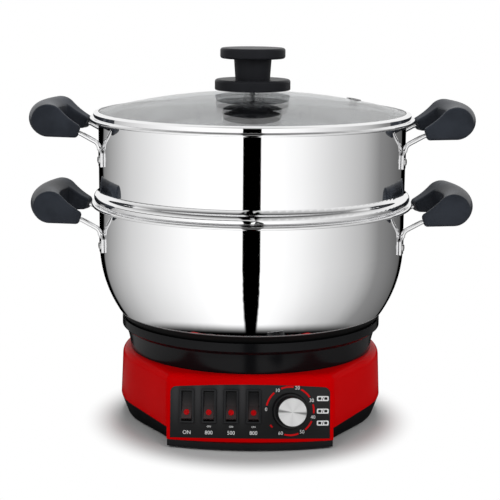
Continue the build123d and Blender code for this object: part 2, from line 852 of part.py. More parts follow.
with BuildPart() as control_panel:
    extrude(panel_outline(0), amount=panel_half_width / 3, both=True)
    with Locations(face_axis.location):
        Cylinder(panel_radius, 4 * console_front, mode=Mode.INTERSECT)
        Cylinder(panel_radius - panel_thickness, 4 * console_front, mode=Mode.SUBTRACT)
    for plane in switch_planes:
        with BuildSketch(plane):
            Rectangle(switch_body_width + 2 * seam_gap, switch_body_height + 2 * seam_gap)
        extrude(amount=2 * panel_thickness, both=True, mode=Mode.SUBTRACT)
    with BuildSketch(timer_plane):
        Circle(timer_shaft_radius + body_gap)
        with GridLocations(2 * timer_screw_place, 1, 2, 1):
            Circle(screw_radius + running_gap)
    extrude(amount=2 * panel_thickness, both=True, mode=Mode.SUBTRACT)
save(control_panel, "control_panel")


def rocker_plane(plane):
    """Plane across a rocker through its pivot, turned with the rocker as it stands at rest."""
    pivot = plane.offset(-rocker_pivot_depth).origin
    tilt = radians(rocker_tilt)
    along = plane.y_dir * cos(tilt) - plane.z_dir * sin(tilt)
    return Plane(origin=pivot, x_dir=along, z_dir=plane.x_dir)


def lens_plane(plane):
    """Plane on the lower half of a rocker's face, where its lens sits."""
    half_length = sqrt(rocker_swing_radius**2 - rocker_edge_height**2)
    slope = rocker_dip / half_length
    across = rocker_plane(plane)
    height = rocker_edge_height - rocker_dip + slope * lens_place
    out = across.y_dir + across.x_dir * slope
    origin = across.origin - across.x_dir * lens_place + across.y_dir * height
    return Plane(origin=origin, x_dir=plane.x_dir, z_dir=out)


for number, plane in enumerate(switch_planes, start=1):
    across = rocker_plane(plane)
    seat = lens_plane(plane)
    half_length = sqrt(rocker_swing_radius**2 - rocker_edge_height**2)
    heel_height = -rocker_edge_height / 2
    heel_length = sqrt(rocker_swing_radius**2 - heel_height**2)

    # A switch: a bezel on the fascia and a closed body behind it, with two holes for the pivots.
    with BuildPart() as switch_frame:
        with BuildSketch(plane):
            RectangleRounded(bezel_width, bezel_height, bezel_corner_radius)
        extrude(amount=bezel_thickness)
        chamfer(switch_frame.faces().sort_by(Axis(plane.origin, plane.z_dir))[-1].edges(), bezel_chamfer)
        with BuildSketch(plane):
            Rectangle(switch_body_width, switch_body_height)
        extrude(amount=-switch_depth)
        with BuildSketch(plane.offset(bezel_thickness)):
            Rectangle(rocker_opening_width, rocker_opening_height)
        extrude(amount=switch_wall - switch_depth - bezel_thickness, mode=Mode.SUBTRACT)
        with BuildSketch(across):
            Circle(rocker_pin_radius + running_gap)
        extrude(amount=switch_body_width, both=True, mode=Mode.SUBTRACT)
    save(switch_frame, f"switch_frame_{number}")

    # A rocker: a dipped face between two end arcs that are struck from its own pivot.
    with BuildPart() as rocker:
        with BuildSketch(across):
            with BuildLine():
                Polyline(
                    (half_length, rocker_edge_height),
                    (0, rocker_edge_height - rocker_dip),
                    (-half_length, rocker_edge_height),
                )
                ThreePointArc(
                    (-half_length, rocker_edge_height),
                    (-rocker_swing_radius, 0),
                    (-heel_length, heel_height),
                )
                Line((-heel_length, heel_height), (heel_length, heel_height))
                ThreePointArc(
                    (heel_length, heel_height),
                    (rocker_swing_radius, 0),
                    (half_length, rocker_edge_height),
                )
            make_face()
        extrude(amount=rocker_opening_width / 2 - body_gap, both=True)
        with BuildSketch(across):
            Circle(rocker_pin_radius)
        extrude(amount=rocker_opening_width / 2 + rocker_pin_reach, both=True)
        with BuildSketch(seat):
            Circle(lens_radius)
        extrude(amount=-lens_depth, mode=Mode.SUBTRACT)
    save(rocker, f"rocker_{number}")

    # Its lens: a short plug with a domed face.
    with BuildPart() as lens:
        with BuildSketch(seat.offset(-lens_depth)):
            Circle(lens_radius)
        extrude(amount=lens_depth + lens_rise)
        fillet(lens.faces().sort_by(Axis(seat.origin, seat.z_dir))[-1].edges(), lens_edge_radius)
    save(lens, f"lens_{number}")

# ---------------------------------------------------------------- timer
timer_front = panel_thickness + sag(panel_radius, timer_body_size / 2) + seam_gap

with BuildPart() as timer_body:
    with BuildSketch(timer_plane.offset(-timer_front)):
        RectangleRounded(timer_body_size, timer_body_size, timer_corner_radius)
    extrude(amount=-timer_body_depth)
    with BuildSketch(timer_plane.offset(-timer_front)):
        Circle(timer_shaft_radius + running_gap)
        with GridLocations(2 * timer_screw_place, 1, 2, 1):
            Circle(screw_radius + running_gap)
    extrude(amount=-timer_body_depth / 2, mode=Mode.SUBTRACT)
save(timer_body, "timer_body")

with BuildPart() as timer_screws:
    with BuildSketch(timer_plane):
        with GridLocations(2 * timer_screw_place, 1, 2, 1):
            Circle(screw_head_radius)
    extrude(amount=screw_head_height)
    with BuildSketch(timer_plane):
        with GridLocations(2 * timer_screw_place, 1, 2, 1):
            Circle(screw_radius)
    extrude(amount=-timer_front - timer_body_depth / 3)
save(timer_screws, "timer_screws")

with BuildPart() as timer_shaft:
    with BuildSketch(timer_plane.offset(-timer_front - timer_body_depth / 2 + body_gap)):
        Circle(timer_shaft_radius)
    extrude(amount=timer_front + timer_body_depth / 2 - body_gap + knob_height - knob_wall_above)
save(timer_shaft, "timer_shaft")

with BuildPart() as timer_knob:
    with BuildSketch(timer_plane.offset(knob_lift)):
        Circle(knob_base_radius)
    extrude(amount=knob_skirt_height, taper=degrees(atan2(knob_skirt_taper, knob_skirt_height)))
    with BuildSketch(timer_plane.offset(knob_lift + knob_skirt_height)):
        Circle(knob_waist_radius)
    with BuildSketch(timer_plane.offset(knob_height)):
        Circle(knob_top_radius)
    loft()
    with BuildSketch(timer_plane.offset(knob_lift)):
        Circle(knob_hollow_radius)
    extrude(amount=knob_hollow_depth, mode=Mode.SUBTRACT)
    with BuildSketch(timer_plane.offset(knob_lift)):
        Circle(timer_shaft_radius)
    extrude(amount=knob_height - knob_wall_above - knob_lift, mode=Mode.SUBTRACT)
    with BuildSketch(timer_plane.offset(knob_height)):
        Circle(dial_cap_radius)
    extrude(amount=-dial_cap_thickness / 2, mode=Mode.SUBTRACT)
save(timer_knob, "timer_knob")

with BuildPart() as dial_cap:
    with BuildSketch(timer_plane.offset(knob_height - dial_cap_thickness / 2)):
        Circle(dial_cap_radius)
    extrude(amount=dial_cap_thickness)
    outer_face = dial_cap.faces().sort_by(Axis(timer_plane.origin, timer_plane.z_dir))[-1]
    chamfer(outer_face.edges(), dial_cap_chamfer)
save(dial_cap, "dial_cap")


# ---------------------------------------------------------------- pot and steamer tier
def rivet_planes(seat):
    """Planes on the vessel's wall where the four pads are riveted, facing out."""
    height = seat - pad_top_drop - pad_height / 2
    planes = []
    for angle in (leg_angle, -leg_angle, 180 - leg_angle, 180 + leg_angle):
        out = Vector(cos(radians(angle)), sin(radians(angle)), 0)
        origin = out * vessel_radius + Vector(0, 0, height)
        planes.append(Plane(origin=origin, x_dir=Vector(0, 0, 1).cross(out), z_dir=out))
    return planes


def rivet_holes(seat):
    """Clearance holes through the vessel's wall for the rivets of both brackets."""
    with BuildPart() as holes:
        for plane in rivet_planes(seat):
            with BuildSketch(plane.offset(-2 * pot_sheet - rivet_tail_height)):
                Circle(rivet_radius + running_gap)
            extrude(amount=4 * pot_sheet + rivet_tail_height)
    return holes.part


# The pot is spun from one sheet: a flat floor, a bowl, a straight wall, an outward lip and a bead.
with BuildPart() as pot_shell:
    with BuildSketch(Plane.XZ):
        with BuildLine():
            Line((0, pot_floor), (floor_radius, pot_floor))
            middle = pot_floor + bowl_rise / 2
            ThreePointArc(
                (floor_radius, pot_floor),
                bowl_point(bowl_radius, middle),
                (vessel_radius, bowl_center_height),
            )
            Line((vessel_radius, bowl_center_height), (vessel_radius, pot_seat - pot_sheet - lip_bend))
            RadiusArc(
                (vessel_radius, pot_seat - pot_sheet - lip_bend),
                (vessel_radius + lip_bend, pot_seat - pot_sheet),
                lip_bend,
            )
            Line((vessel_radius + lip_bend, pot_seat - pot_sheet), (pot_lip_radius, pot_seat - pot_sheet))
            offset(amount=pot_sheet, side=Side.LEFT)
        make_face()
        with Locations((pot_lip_radius, pot_seat - bead_drop)):
            Circle(bead_radius)
    revolve(axis=Axis.Z)
    add(rivet_holes(pot_seat), mode=Mode.SUBTRACT)
save(pot_shell, "pot_shell")

with BuildPart() as pot_base_disc:
    with BuildSketch(Plane.XY.offset(heater_top)):
        Circle(floor_radius - seam_gap)
    extrude(amount=base_disc_thickness)
    chamfer(pot_base_disc.faces().sort_by(Axis.Z)[0].edges(), base_disc_chamfer)
save(pot_base_disc, "pot_base_disc")


def upright_bend(run, rise):
    """Radius of an arc that covers a run and a rise and is upright at one end."""
    return (run**2 + rise**2) / (2 * run)


# The tier: an inward ledge for the plate, a spigot that drops inside the pot, a rounded shoulder that
# stands on the pot's lip, a straight wall and the same lip and bead as the pot.
spigot_radius = vessel_radius - pot_sheet - spigot_clearance
ledge_height = pot_seat - spigot_depth
bulge_height = pot_seat + shoulder_bulge_height
shoulder_top = pot_seat + shoulder_height
shoulder_middle = ((shoulder_radius + vessel_radius) / 2, (bulge_height + shoulder_top) / 2)
foot_bend = upright_bend(shoulder_radius - shoulder_foot_radius, shoulder_bulge_height)
shoulder_bend = upright_bend(shoulder_radius - shoulder_middle[0], shoulder_middle[1] - bulge_height)

with BuildPart() as steamer_tier:
    with BuildSketch(Plane.XZ):
        with BuildLine():
            Line((ledge_radius, ledge_height), (spigot_radius - spigot_bend, ledge_height))
            RadiusArc(
                (spigot_radius - spigot_bend, ledge_height),
                (spigot_radius, ledge_height + spigot_bend),
                -spigot_bend,
            )
            Polyline(
                (spigot_radius, ledge_height + spigot_bend),
                (spigot_radius, pot_seat),
                (shoulder_foot_radius, pot_seat),
            )
            RadiusArc((shoulder_foot_radius, pot_seat), (shoulder_radius, bulge_height), -foot_bend)
            RadiusArc((shoulder_radius, bulge_height), shoulder_middle, -shoulder_bend)
            RadiusArc(shoulder_middle, (vessel_radius, shoulder_top), shoulder_bend)
            Line((vessel_radius, shoulder_top), (vessel_radius, tier_seat - tier_sheet - lip_bend))
            RadiusArc(
                (vessel_radius, tier_seat - tier_sheet - lip_bend),
                (vessel_radius + lip_bend, tier_seat - tier_sheet),
                lip_bend,
            )
            Line(
                (vessel_radius + lip_bend, tier_seat - tier_sheet),
                (tier_lip_radius, tier_seat - tier_sheet),
            )
            offset(amount=tier_sheet, side=Side.LEFT)
        make_face()
        with Locations((tier_lip_radius, tier_seat - bead_drop)):
            Circle(bead_radius)
    revolve(axis=Axis.Z)
    add(rivet_holes(tier_seat), mode=Mode.SUBTRACT)
save(steamer_tier, "steamer_tier")

# The loose steam plate: a perforated disc with a turned-up rim, lying on the tier's ledge.
with BuildPart() as steam_plate:
    with BuildSketch(Plane.XY.offset(ledge_height + tier_sheet)):
        Circle(plate_radius)
    extrude(amount=plate_rim_height)
    with BuildSketch(Plane.XY.offset(ledge_height + tier_sheet + plate_thickness)):
        Circle(plate_radius - plate_thickness)
    extrude(amount=plate_rim_height, mode=Mode.SUBTRACT)
    with BuildSketch(Plane.XY.offset(ledge_height + tier_sheet)):
        Circle(plate_hole_radius)
        for ring in range(1, plate_hole_rings + 1):
            with PolarLocations(ring * plate_ring_pitch, 6 * ring):
                Circle(plate_hole_radius)
    extrude(amount=plate_thickness, mode=Mode.SUBTRACT)
save(steam_plate, "steam_plate")


# ---------------------------------------------------------------- grips
def side_plane(seat, side, y):
    """Upright plane across one grip: local x points away from the vessel, local y up from the seat."""
    return Plane(origin=(0, y, seat), x_dir=(side, 0, 0), z_dir=(0, -side, 0))


def bracket(seat, side):
    """Two bent wires that carry one grip, each flattened to a pad where it is riveted to the wall."""
    tip = (grip_tip, -arm_drop)
    with BuildPart() as legs:
        with BuildLine(side_plane(seat, side, arm_place)):
            path = FilletPolyline(
                (grip_tip + wire_socket_depth, wire_socket_rise - arm_drop),
                tip,
                (wire_reach, -wire_knee_drop),
                (wire_reach, -wire_end_drop),
                radius=wire_bend,
            )
        with BuildSketch(Plane(origin=path @ 0, z_dir=path % 0)):
            Circle(wire_radius)
        sweep()
        out = Vector(side * wire_reach, arm_place, 0).normalized()
        pad_circle = vessel_radius + seam_gap + pad_thickness / 2
        pad_top = Plane(
            origin=out * pad_circle + Vector(0, 0, seat - pad_top_drop),
            x_dir=Vector(0, 0, 1).cross(out),
            z_dir=(0, 0, 1),
        )
        with BuildSketch(Plane.XY.offset(seat - wire_end_drop)):
            with Locations((side * wire_reach, arm_place)):
                Circle(wire_radius)
        with BuildSketch(pad_top):
            SlotOverall(pad_width, pad_thickness)
        loft()
        with BuildSketch(pad_top):
            SlotOverall(pad_width, pad_thickness)
        extrude(amount=-pad_height)
        rivet_plane = Plane(
            origin=out * vessel_radius + Vector(0, 0, seat - pad_top_drop - pad_height / 2), z_dir=out
        )
        with BuildSketch(rivet_plane):
            Circle(rivet_radius + running_gap)
        extrude(amount=2 * pad_thickness, mode=Mode.SUBTRACT)
        mirror(about=Plane.XZ)
    return legs


def rivets(seat):
    """Four domed rivets through the pads and the vessel's wall, peened over on the inside."""
    with BuildPart() as group:
        for plane in rivet_planes(seat):
            head = plane.offset(seam_gap + pad_thickness)
            tail = plane.offset(-pot_sheet - seam_gap)
            with BuildSketch(head):
                Circle(rivet_head_radius)
            extrude(amount=rivet_head_height, taper=rivet_head_taper)
            with BuildSketch(tail):
                Circle(rivet_radius)
            extrude(amount=pot_sheet + 2 * seam_gap + pad_thickness)
            with BuildSketch(tail):
                Circle(rivet_head_radius)
            extrude(amount=-rivet_tail_height)
    return group


def grip(seat, side):
    """A C-shaped grip: a teardrop turned about an upright axis, cut to its width, open in the middle."""
    start = 90 - 90 * side - grip_swing
    out = Vector(cos(radians(start)), sin(radians(start)), 0)
    axis_point = (side * grip_axis_place, 0, seat)
    tip_top = (grip_tip_swing, grip_tip_high)
    tip_foot = (grip_tip_swing + grip_tip_bevel, grip_tip_low)
    opening_reach = grip_tip + grip_opening_depth
    with BuildPart() as handle:
        with BuildSketch(Plane(origin=axis_point, x_dir=out, z_dir=out.cross(Vector(0, 0, 1)))):
            with BuildLine():
                under = Line(tip_foot, (grip_belly_swing, grip_belly_low))
                end = TangentArc(under @ 1, (grip_crown_swing, grip_crown_height), tangent=under % 1)
                TangentArc(end @ 1, tip_top, tangent=end % 1)
                Line(tip_top, tip_foot)
            make_face()
        revolve(axis=Axis(axis_point, (0, 0, 1)), revolution_arc=2 * grip_swing)
        with Locations((side * grip_tip, 0, seat)):
            Box(grip_tip, 2 * grip_half_width, grip_half_width, mode=Mode.INTERSECT)
        with BuildSketch(Plane(origin=(0, 0, seat), x_dir=(side, 0, 0), z_dir=(0, 0, 1))) as opening:
            with BuildLine():
                Polyline(
                    (opening_reach, grip_opening_half),
                    (grip_tip - wire_socket_depth, grip_opening_mouth),
                    (grip_tip - wire_socket_depth, -grip_opening_mouth),
                    (opening_reach, -grip_opening_half),
                )
                ThreePointArc(
                    (opening_reach, -grip_opening_half),
                    (opening_reach + grip_opening_bulge, 0),
                    (opening_reach, grip_opening_half),
                )
            make_face()
            fillet(opening.vertices().group_by(Axis.X)[-1], grip_opening_radius)
        extrude(amount=grip_half_width, both=True, mode=Mode.SUBTRACT)
        fillet(handle.edges(), grip_edge_radius)
        rise = Vector(side * wire_socket_depth, 0, wire_socket_rise)
        for y in (-arm_place, arm_place):
            tip = Vector(side * grip_tip, y, seat - arm_drop)
            with BuildSketch(Plane(origin=tip - rise, z_dir=rise)):
                Circle(wire_radius + seam_gap)
            extrude(amount=2 * rise.length + seam_gap, mode=Mode.SUBTRACT)
            with BuildSketch(Plane.XY.offset(seat + 2 * grip_tip_low)):
                with Locations((side * (grip_tip + grip_pin_place), y)):
                    Circle(grip_pin_radius + running_gap)
            extrude(amount=-2 * grip_tip_low - arm_drop, mode=Mode.SUBTRACT)
    return handle


def grip_pins(seat):
    """Short set screws that hold the wires in the arms of both grips, driven from below."""
    slope = wire_socket_rise / wire_socket_depth
    wire_height = -arm_drop + grip_pin_place * slope
    wire_under = wire_height - wire_radius * sqrt(1 + slope**2) - grip_pin_radius * slope
    with BuildPart() as pins:
        with BuildSketch(Plane.XY.offset(seat + grip_pin_head)):
            for side in (-1, 1):
                for y in (-arm_place, arm_place):
                    with Locations((side * (grip_tip + grip_pin_place), y)):
                        Circle(grip_pin_radius)
        extrude(amount=wire_under - grip_pin_head)
    return pins


for tier, seat in (("pot", pot_seat), ("steamer", tier_seat)):
    for hand, side in (("left", -1), ("right", 1)):
        save(bracket(seat, side), f"{tier}_bracket_{hand}")
        save(grip(seat, side), f"{tier}_grip_{hand}")
    save(rivets(seat), f"{tier}_rivets")
    save(grip_pins(seat), f"{tier}_grip_pins")

# ---------------------------------------------------------------- lid
dome_center = glass_top - dome_radius
under_radius = dome_radius - glass_thickness
knob_hole_radius = knob_screw_radius + seam_gap
vent_tilt = asin(vent_circle / dome_radius)
vent_out = Vector(
    sin(vent_tilt) * cos(radians(vent_angle)),
    sin(vent_tilt) * sin(radians(vent_angle)),
    cos(vent_tilt),
)
vent_plane = Plane(origin=Vector(0, 0, dome_center) + vent_out * dome_radius, z_dir=vent_out)


def dome_point(radius, at):
    """Point on a sphere about the dome's centre, at a distance from the axis."""
    return (at, dome_center + sqrt(radius**2 - at**2))


with BuildPart() as lid_glass:
    with BuildSketch(Plane.XZ):
        with BuildLine():
            ThreePointArc(
                dome_point(dome_radius, knob_hole_radius),
                dome_point(dome_radius, glass_radius / 2),
                dome_point(dome_radius, glass_radius),
            )
            Line(dome_point(dome_radius, glass_radius), dome_point(under_radius, glass_radius))
            ThreePointArc(
                dome_point(under_radius, glass_radius),
                dome_point(under_radius, glass_radius / 2),
                dome_point(under_radius, knob_hole_radius),
            )
            Line(dome_point(under_radius, knob_hole_radius), dome_point(dome_radius, knob_hole_radius))
        make_face()
    revolve(axis=Axis.Z)
    with BuildSketch(vent_plane):
        Circle(vent_tube_radius + seam_gap)
    extrude(amount=2 * glass_thickness, both=True, mode=Mode.SUBTRACT)
save(lid_glass, "lid_glass")

# The rim band: a channel that grips the glass, a foot that stands on the tier's lip and a skirt inside.
with BuildPart() as lid_band:
    glass_edge = glass_radius + seam_gap
    edge_height = dome_point(dome_radius, glass_edge)[1] + seam_gap
    lip_height = dome_point(dome_radius, band_lip_reach)[1] + seam_gap
    with BuildSketch(Plane.XZ):
        with BuildLine():
            Polyline(
                (band_skirt_radius - band_sheet, tier_seat - band_skirt_depth),
                (band_skirt_radius, tier_seat - band_skirt_depth),
                (band_skirt_radius, tier_seat),
                (band_radius, tier_seat),
                (band_radius, edge_height),
                (glass_edge, edge_height + band_sheet),
                (band_lip_reach, lip_height + band_sheet),
                (band_lip_reach, lip_height),
                (glass_edge, edge_height),
                (glass_edge, glass_seat),
                (band_skirt_radius - band_sheet, glass_seat),
                (band_skirt_radius - band_sheet, tier_seat - band_skirt_depth),
            )
        make_face()
    revolve(axis=Axis.Z)
save(lid_band, "lid_band")

with BuildPart() as lid_vent:
    with BuildSketch(vent_plane.offset(-glass_thickness - vent_flange_thickness)):
        Circle(vent_tube_radius)
    extrude(amount=glass_thickness + 2 * vent_flange_thickness)
    with BuildSketch(vent_plane):
        Circle(vent_flange_radius)
    extrude(amount=vent_flange_thickness)
    outer_face = lid_vent.faces().sort_by(Axis(vent_plane.origin, vent_plane.z_dir))[-1]
    fillet(outer_face.edges(), vent_edge_radius)
    under_flange = glass_thickness + sag(under_radius, vent_flange_radius) + seam_gap
    with BuildSketch(vent_plane.offset(-under_flange)):
        Circle((vent_flange_radius + vent_tube_radius) / 2)
    extrude(amount=-vent_flange_thickness + seam_gap)
    with BuildSketch(vent_plane):
        Circle(vent_hole_radius)
    extrude(amount=3 * glass_thickness, both=True, mode=Mode.SUBTRACT)
save(lid_vent, "lid_vent")

flange_bottom = glass_top + gasket_thickness
flange_top = flange_bottom + flange_height
cap_bottom = flange_top + neck_height
washer_top = glass_bottom - sag(under_radius, washer_radius)
screw_top = flange_top + knob_bore_depth

with BuildPart() as knob_gasket:
    with BuildSketch(Plane.XY.offset(glass_top)):
        Circle(gasket_radius)
        Circle(knob_hole_radius, mode=Mode.SUBTRACT)
    extrude(amount=gasket_thickness)
save(knob_gasket, "knob_gasket")

with BuildPart() as knob_flange:
    with BuildSketch(Plane.XY.offset(flange_bottom)):
        Circle(flange_radius)
        Circle(knob_hole_radius, mode=Mode.SUBTRACT)
    extrude(amount=flange_height)
    outer_edges = knob_flange.edges().filter_by(GeomType.CIRCLE).sort_by(SortBy.RADIUS)[-2:]
    fillet(outer_edges.sort_by(Axis.Z)[-1], flange_edge_radius)
    fillet(outer_edges.sort_by(Axis.Z)[0], flange_edge_radius / 2)
save(knob_flange, "knob_flange")

with BuildPart() as lid_knob:
    with BuildSketch(Plane.XY.offset(flange_top)):
        Circle(neck_radius)
    with BuildSketch(Plane.XY.offset(cap_bottom)):
        Circle(neck_top_radius)
    loft()
    with BuildSketch(Plane.XY.offset(cap_bottom)):
        Circle(cap_radius)
    extrude(amount=cap_height)
    rounds = lid_knob.edges().filter_by(GeomType.CIRCLE)
    fillet(rounds.filter_by(lambda edge: edge.radius > cap_radius - seam_gap), cap_edge_radius)
    with BuildSketch(Plane.XY.offset(flange_top)):
        Circle(knob_hole_radius)
    extrude(amount=knob_bore_depth + seam_gap, mode=Mode.SUBTRACT)
save(lid_knob, "lid_knob")

with BuildPart() as knob_washer:
    with BuildSketch(Plane.XY.offset(washer_top)):
        Circle(washer_radius)
        Circle(knob_hole_radius, mode=Mode.SUBTRACT)
    extrude(amount=-washer_thickness)
save(knob_washer, "knob_washer")

with BuildPart() as knob_screw:
    with BuildSketch(Plane.XY.offset(washer_top - washer_thickness)):
        Circle(2 * knob_screw_radius)
    extrude(amount=-knob_screw_radius)
    fillet(knob_screw.faces().sort_by(Axis.Z)[0].edges(), knob_screw_radius / 2)
    with BuildSketch(Plane.XY.offset(washer_top - washer_thickness)):
        Circle(knob_screw_radius)
    extrude(amount=screw_top - washer_top + washer_thickness)
save(knob_screw, "knob_screw")
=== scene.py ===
"""Looks of the electric hot pot: finishes, console print, screw heads, stage, lights and camera."""

import json
from math import ceil, cos, pi, radians, sin

import bpy
from mathutils import Matrix, Vector


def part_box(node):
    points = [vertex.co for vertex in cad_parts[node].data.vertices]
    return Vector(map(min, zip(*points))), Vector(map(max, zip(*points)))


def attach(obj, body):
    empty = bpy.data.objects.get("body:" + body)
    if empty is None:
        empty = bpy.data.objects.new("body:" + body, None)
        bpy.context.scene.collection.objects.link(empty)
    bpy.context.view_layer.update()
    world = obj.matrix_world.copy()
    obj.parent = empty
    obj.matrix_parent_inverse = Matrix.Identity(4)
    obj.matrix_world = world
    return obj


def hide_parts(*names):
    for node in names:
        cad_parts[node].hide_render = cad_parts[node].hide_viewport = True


bl_info = {
    "name": "Electric hot pot",
    "version": (1, 0, 0),
    "blender": (4, 5, 0),
    "location": "View3D > Sidebar > Hot pot",
    "description": "Finishes and details of a two-tier electric hot pot",
    "category": "Object",
}

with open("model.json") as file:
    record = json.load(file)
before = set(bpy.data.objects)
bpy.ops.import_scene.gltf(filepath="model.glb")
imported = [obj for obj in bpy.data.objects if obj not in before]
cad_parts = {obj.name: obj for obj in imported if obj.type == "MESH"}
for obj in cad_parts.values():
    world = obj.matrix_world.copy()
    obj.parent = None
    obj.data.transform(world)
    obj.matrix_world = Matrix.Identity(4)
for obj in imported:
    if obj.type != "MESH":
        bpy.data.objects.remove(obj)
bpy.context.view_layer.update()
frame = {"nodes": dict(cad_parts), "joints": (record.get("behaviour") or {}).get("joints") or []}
nodes = frame["nodes"]
MM = 0.001
HANDS = ("left", "right")
TIERS = ("pot", "steamer")
SWITCHES = (1, 2, 3, 4)
WHITE = (1, 1, 1)
BLACK = (0, 0, 0)


# ---------------------------------------------------------------- user settings
def colour_property(name, description, default):
    """A colour that a user would change."""
    return bpy.props.FloatVectorProperty(
        name=name, description=description, default=default, size=3, min=0, max=1, subtype="COLOR"
    )


def length_property(name, description, default):
    """A length that a user would change, in metres."""
    return bpy.props.FloatProperty(
        name=name, description=description, default=default, min=0, subtype="DISTANCE", unit="LENGTH"
    )


class HotpotColours(bpy.types.PropertyGroup):
    """Colours of the pot's finishes."""

    shell: colour_property("Shell", "Colour of the base's moulded shell", (0.60, 0.0, 0.001))
    black: colour_property("Black plastic", "Colour of the collar, tray and knobs", (0.0050, 0.0052, 0.0060))
    panel: colour_property("Panel", "Colour of the console's fascia", (0.024, 0.024, 0.025))
    bakelite: colour_property("Grips", "Colour of the side grips", (0.026, 0.030, 0.038))
    steel: colour_property("Steel", "Colour of the polished steel", (0.95, 0.95, 0.955))
    print_white: colour_property("White print", "Colour of the numbers and marks", (0.9, 0.9, 0.9))
    print_red: colour_property("Red print", "Colour of the dial's arcs", (0.72, 0.004, 0.006))
    lens: colour_property("Lens", "Colour of the switches' lenses", (0.50, 0.004, 0.006))


class HotpotSizes(bpy.types.PropertyGroup):
    """Sizes of the console's print and of the screws' recesses."""

    print_height: length_property("Print thickness", "How far the print stands off the fascia", 0.08 * MM)
    dial_radius: length_property("Dial radius", "Radius of the circle of the dial's numbers", 22.3 * MM)
    arc_width: length_property("Arc width", "Width of the dial's red arcs", 1.6 * MM)
    number_size: length_property("Number size", "Type size of the dial's numbers", 4.6 * MM)
    mark_size: length_property("Mark size", "Type size of the switches' numbers", 4.9 * MM)
    recess_width: length_property("Recess width", "Width of a screw's cross recess", 0.9 * MM)
    recess_depth: length_property("Recess depth", "Depth of a screw's cross recess", 1.2 * MM)


# ---------------------------------------------------------------- shader expressions
class Value:
    """A socket that takes part in arithmetic; each operation adds a Math node."""

    def __init__(self, finish, socket):
        self.finish = finish
        self.socket = socket

    def math(self, operation, first, second=0.0):
        return self.finish.node("ShaderNodeMath", {"operation": operation}, {0: first, 1: second})

    def __add__(self, other):
        return self.math("ADD", self, other)

    def __sub__(self, other):
        return self.math("SUBTRACT", self, other)

    def __rsub__(self, other):
        return self.math("SUBTRACT", other, self)

    def __mul__(self, other):
        return self.math("MULTIPLY", self, other)

    def __truediv__(self, other):
        return self.math("DIVIDE", self, other)

    def __pow__(self, other):
        return self.math("POWER", self, other)

    def __abs__(self):
        return self.math("ABSOLUTE", self)

    __radd__ = __add__
    __rmul__ = __mul__

    def sine(self):
        return self.math("SINE", self)

    def root(self):
        return self.math("SQRT", self)

    def angle_to(self, other):
        return self.math("ARCTAN2", self, other)

    def most(self, other):
        return self.math("MAXIMUM", self, other)

    def smooth(self, low, high, start=0.0, end=1.0):
        """The value carried smoothly from one range into another, and held at its ends."""
        settings = {"interpolation_type": "SMOOTHSTEP", "clamp": True}
        sockets = {0: self, 1: low, 2: high, 3: start, 4: end}
        return self.finish.node("ShaderNodeMapRange", settings, sockets)


class Finish:
    """A material or world being made: it adds nodes and links them."""

    def __init__(self, name, owner=None):
        self.owner = owner or bpy.data.materials.new(name)
        self.owner.use_nodes = True
        self.tree = self.owner.node_tree
        self.tree.nodes.clear()

    def node(self, kind, settings=None, sockets=None, outlet=0):
        """Add a node, set it, then give its sockets values or links, and return one outlet."""
        node = self.tree.nodes.new(kind)
        for key, value in (settings or {}).items():
            if key == "stops":
                stops = node.color_ramp.elements
                for index, (place, shade) in enumerate(value):
                    stop = stops[index] if index < 2 else stops.new(place)
                    stop.position = place
                    stop.color = (shade, shade, shade, 1)
            else:
                setattr(node, key, value)
        for key, value in (sockets or {}).items():
            if isinstance(value, Value):
                self.tree.links.new(value.socket, node.inputs[key])
            elif node.inputs[key].type == "RGBA":
                node.inputs[key].default_value = (*value, 1)
            else:
                node.inputs[key].default_value = value
        return Value(self, node.outputs[outlet]) if len(node.outputs) else None

    def place(self, centre=(0, 0, 0), turn=(0, 0, 0), stretch=(1, 1, 1)):
        """Object coordinates, centred, turned and stretched on the piece."""
        objects = self.node("ShaderNodeTexCoord", outlet="Object")
        sockets = {"Vector": objects, "Location": centre, "Rotation": turn}
        moved = self.node("ShaderNodeMapping", {"vector_type": "TEXTURE"}, sockets)
        return self.node("ShaderNodeMapping", {"vector_type": "POINT"}, {"Vector": moved, "Scale": stretch})

    def axes(self, place):
        """The three coordinates of a place, one by one."""
        return [self.node("ShaderNodeSeparateXYZ", None, {0: place}, axis) for axis in range(3)]

    def rays(self):
        """Whether a ray looks straight or through glass, and whether it is a reflection."""
        straight = self.node("ShaderNodeLightPath", outlet="Is Camera Ray")
        through = self.node("ShaderNodeLightPath", outlet="Is Transmission Ray")
        return straight + through, self.node("ShaderNodeLightPath", outlet="Is Glossy Ray")

    def noise(self, place, scale, detail=3.0, roughness=0.5):
        """Soft noise from 0 to 1."""
        sockets = {"Vector": place, "Scale": scale, "Detail": detail, "Roughness": roughness}
        return self.node("ShaderNodeTexNoise", None, sockets)

    def cells(self, place, scale):
        """Distance to the nearest of many scattered points."""
        return self.node("ShaderNodeTexVoronoi", None, {"Vector": place, "Scale": scale})

    def mix(self, factor, first, second):
        """One colour faded into another."""
        settings = {"data_type": "RGBA"}
        return self.node("ShaderNodeMix", settings, {0: factor, 6: first, 7: second}, outlet=2)

    def ramp(self, factor, stops):
        """A grey read from a ramp; its stops are its two ends and then those between."""
        return self.node("ShaderNodeValToRGB", {"stops": stops}, {0: factor})

    def bump(self, height, strength, distance):
        """A surface normal raised by a height."""
        sockets = {"Height": height, "Strength": strength, "Distance": distance}
        return self.node("ShaderNodeBump", None, sockets)

    def close(self, shader, outlet="ShaderNodeOutputMaterial"):
        """Join the finished shader to the output and return what was made."""
        self.node(outlet, None, {0: shader})
        return self.owner

    def surface(self, **sockets):
        """Finish with one surface shader whose sockets are named with underscores."""
        named = {key.replace("_", " "): value for key, value in sockets.items()}
        return self.close(self.node("ShaderNodeBsdfPrincipled", None, named))


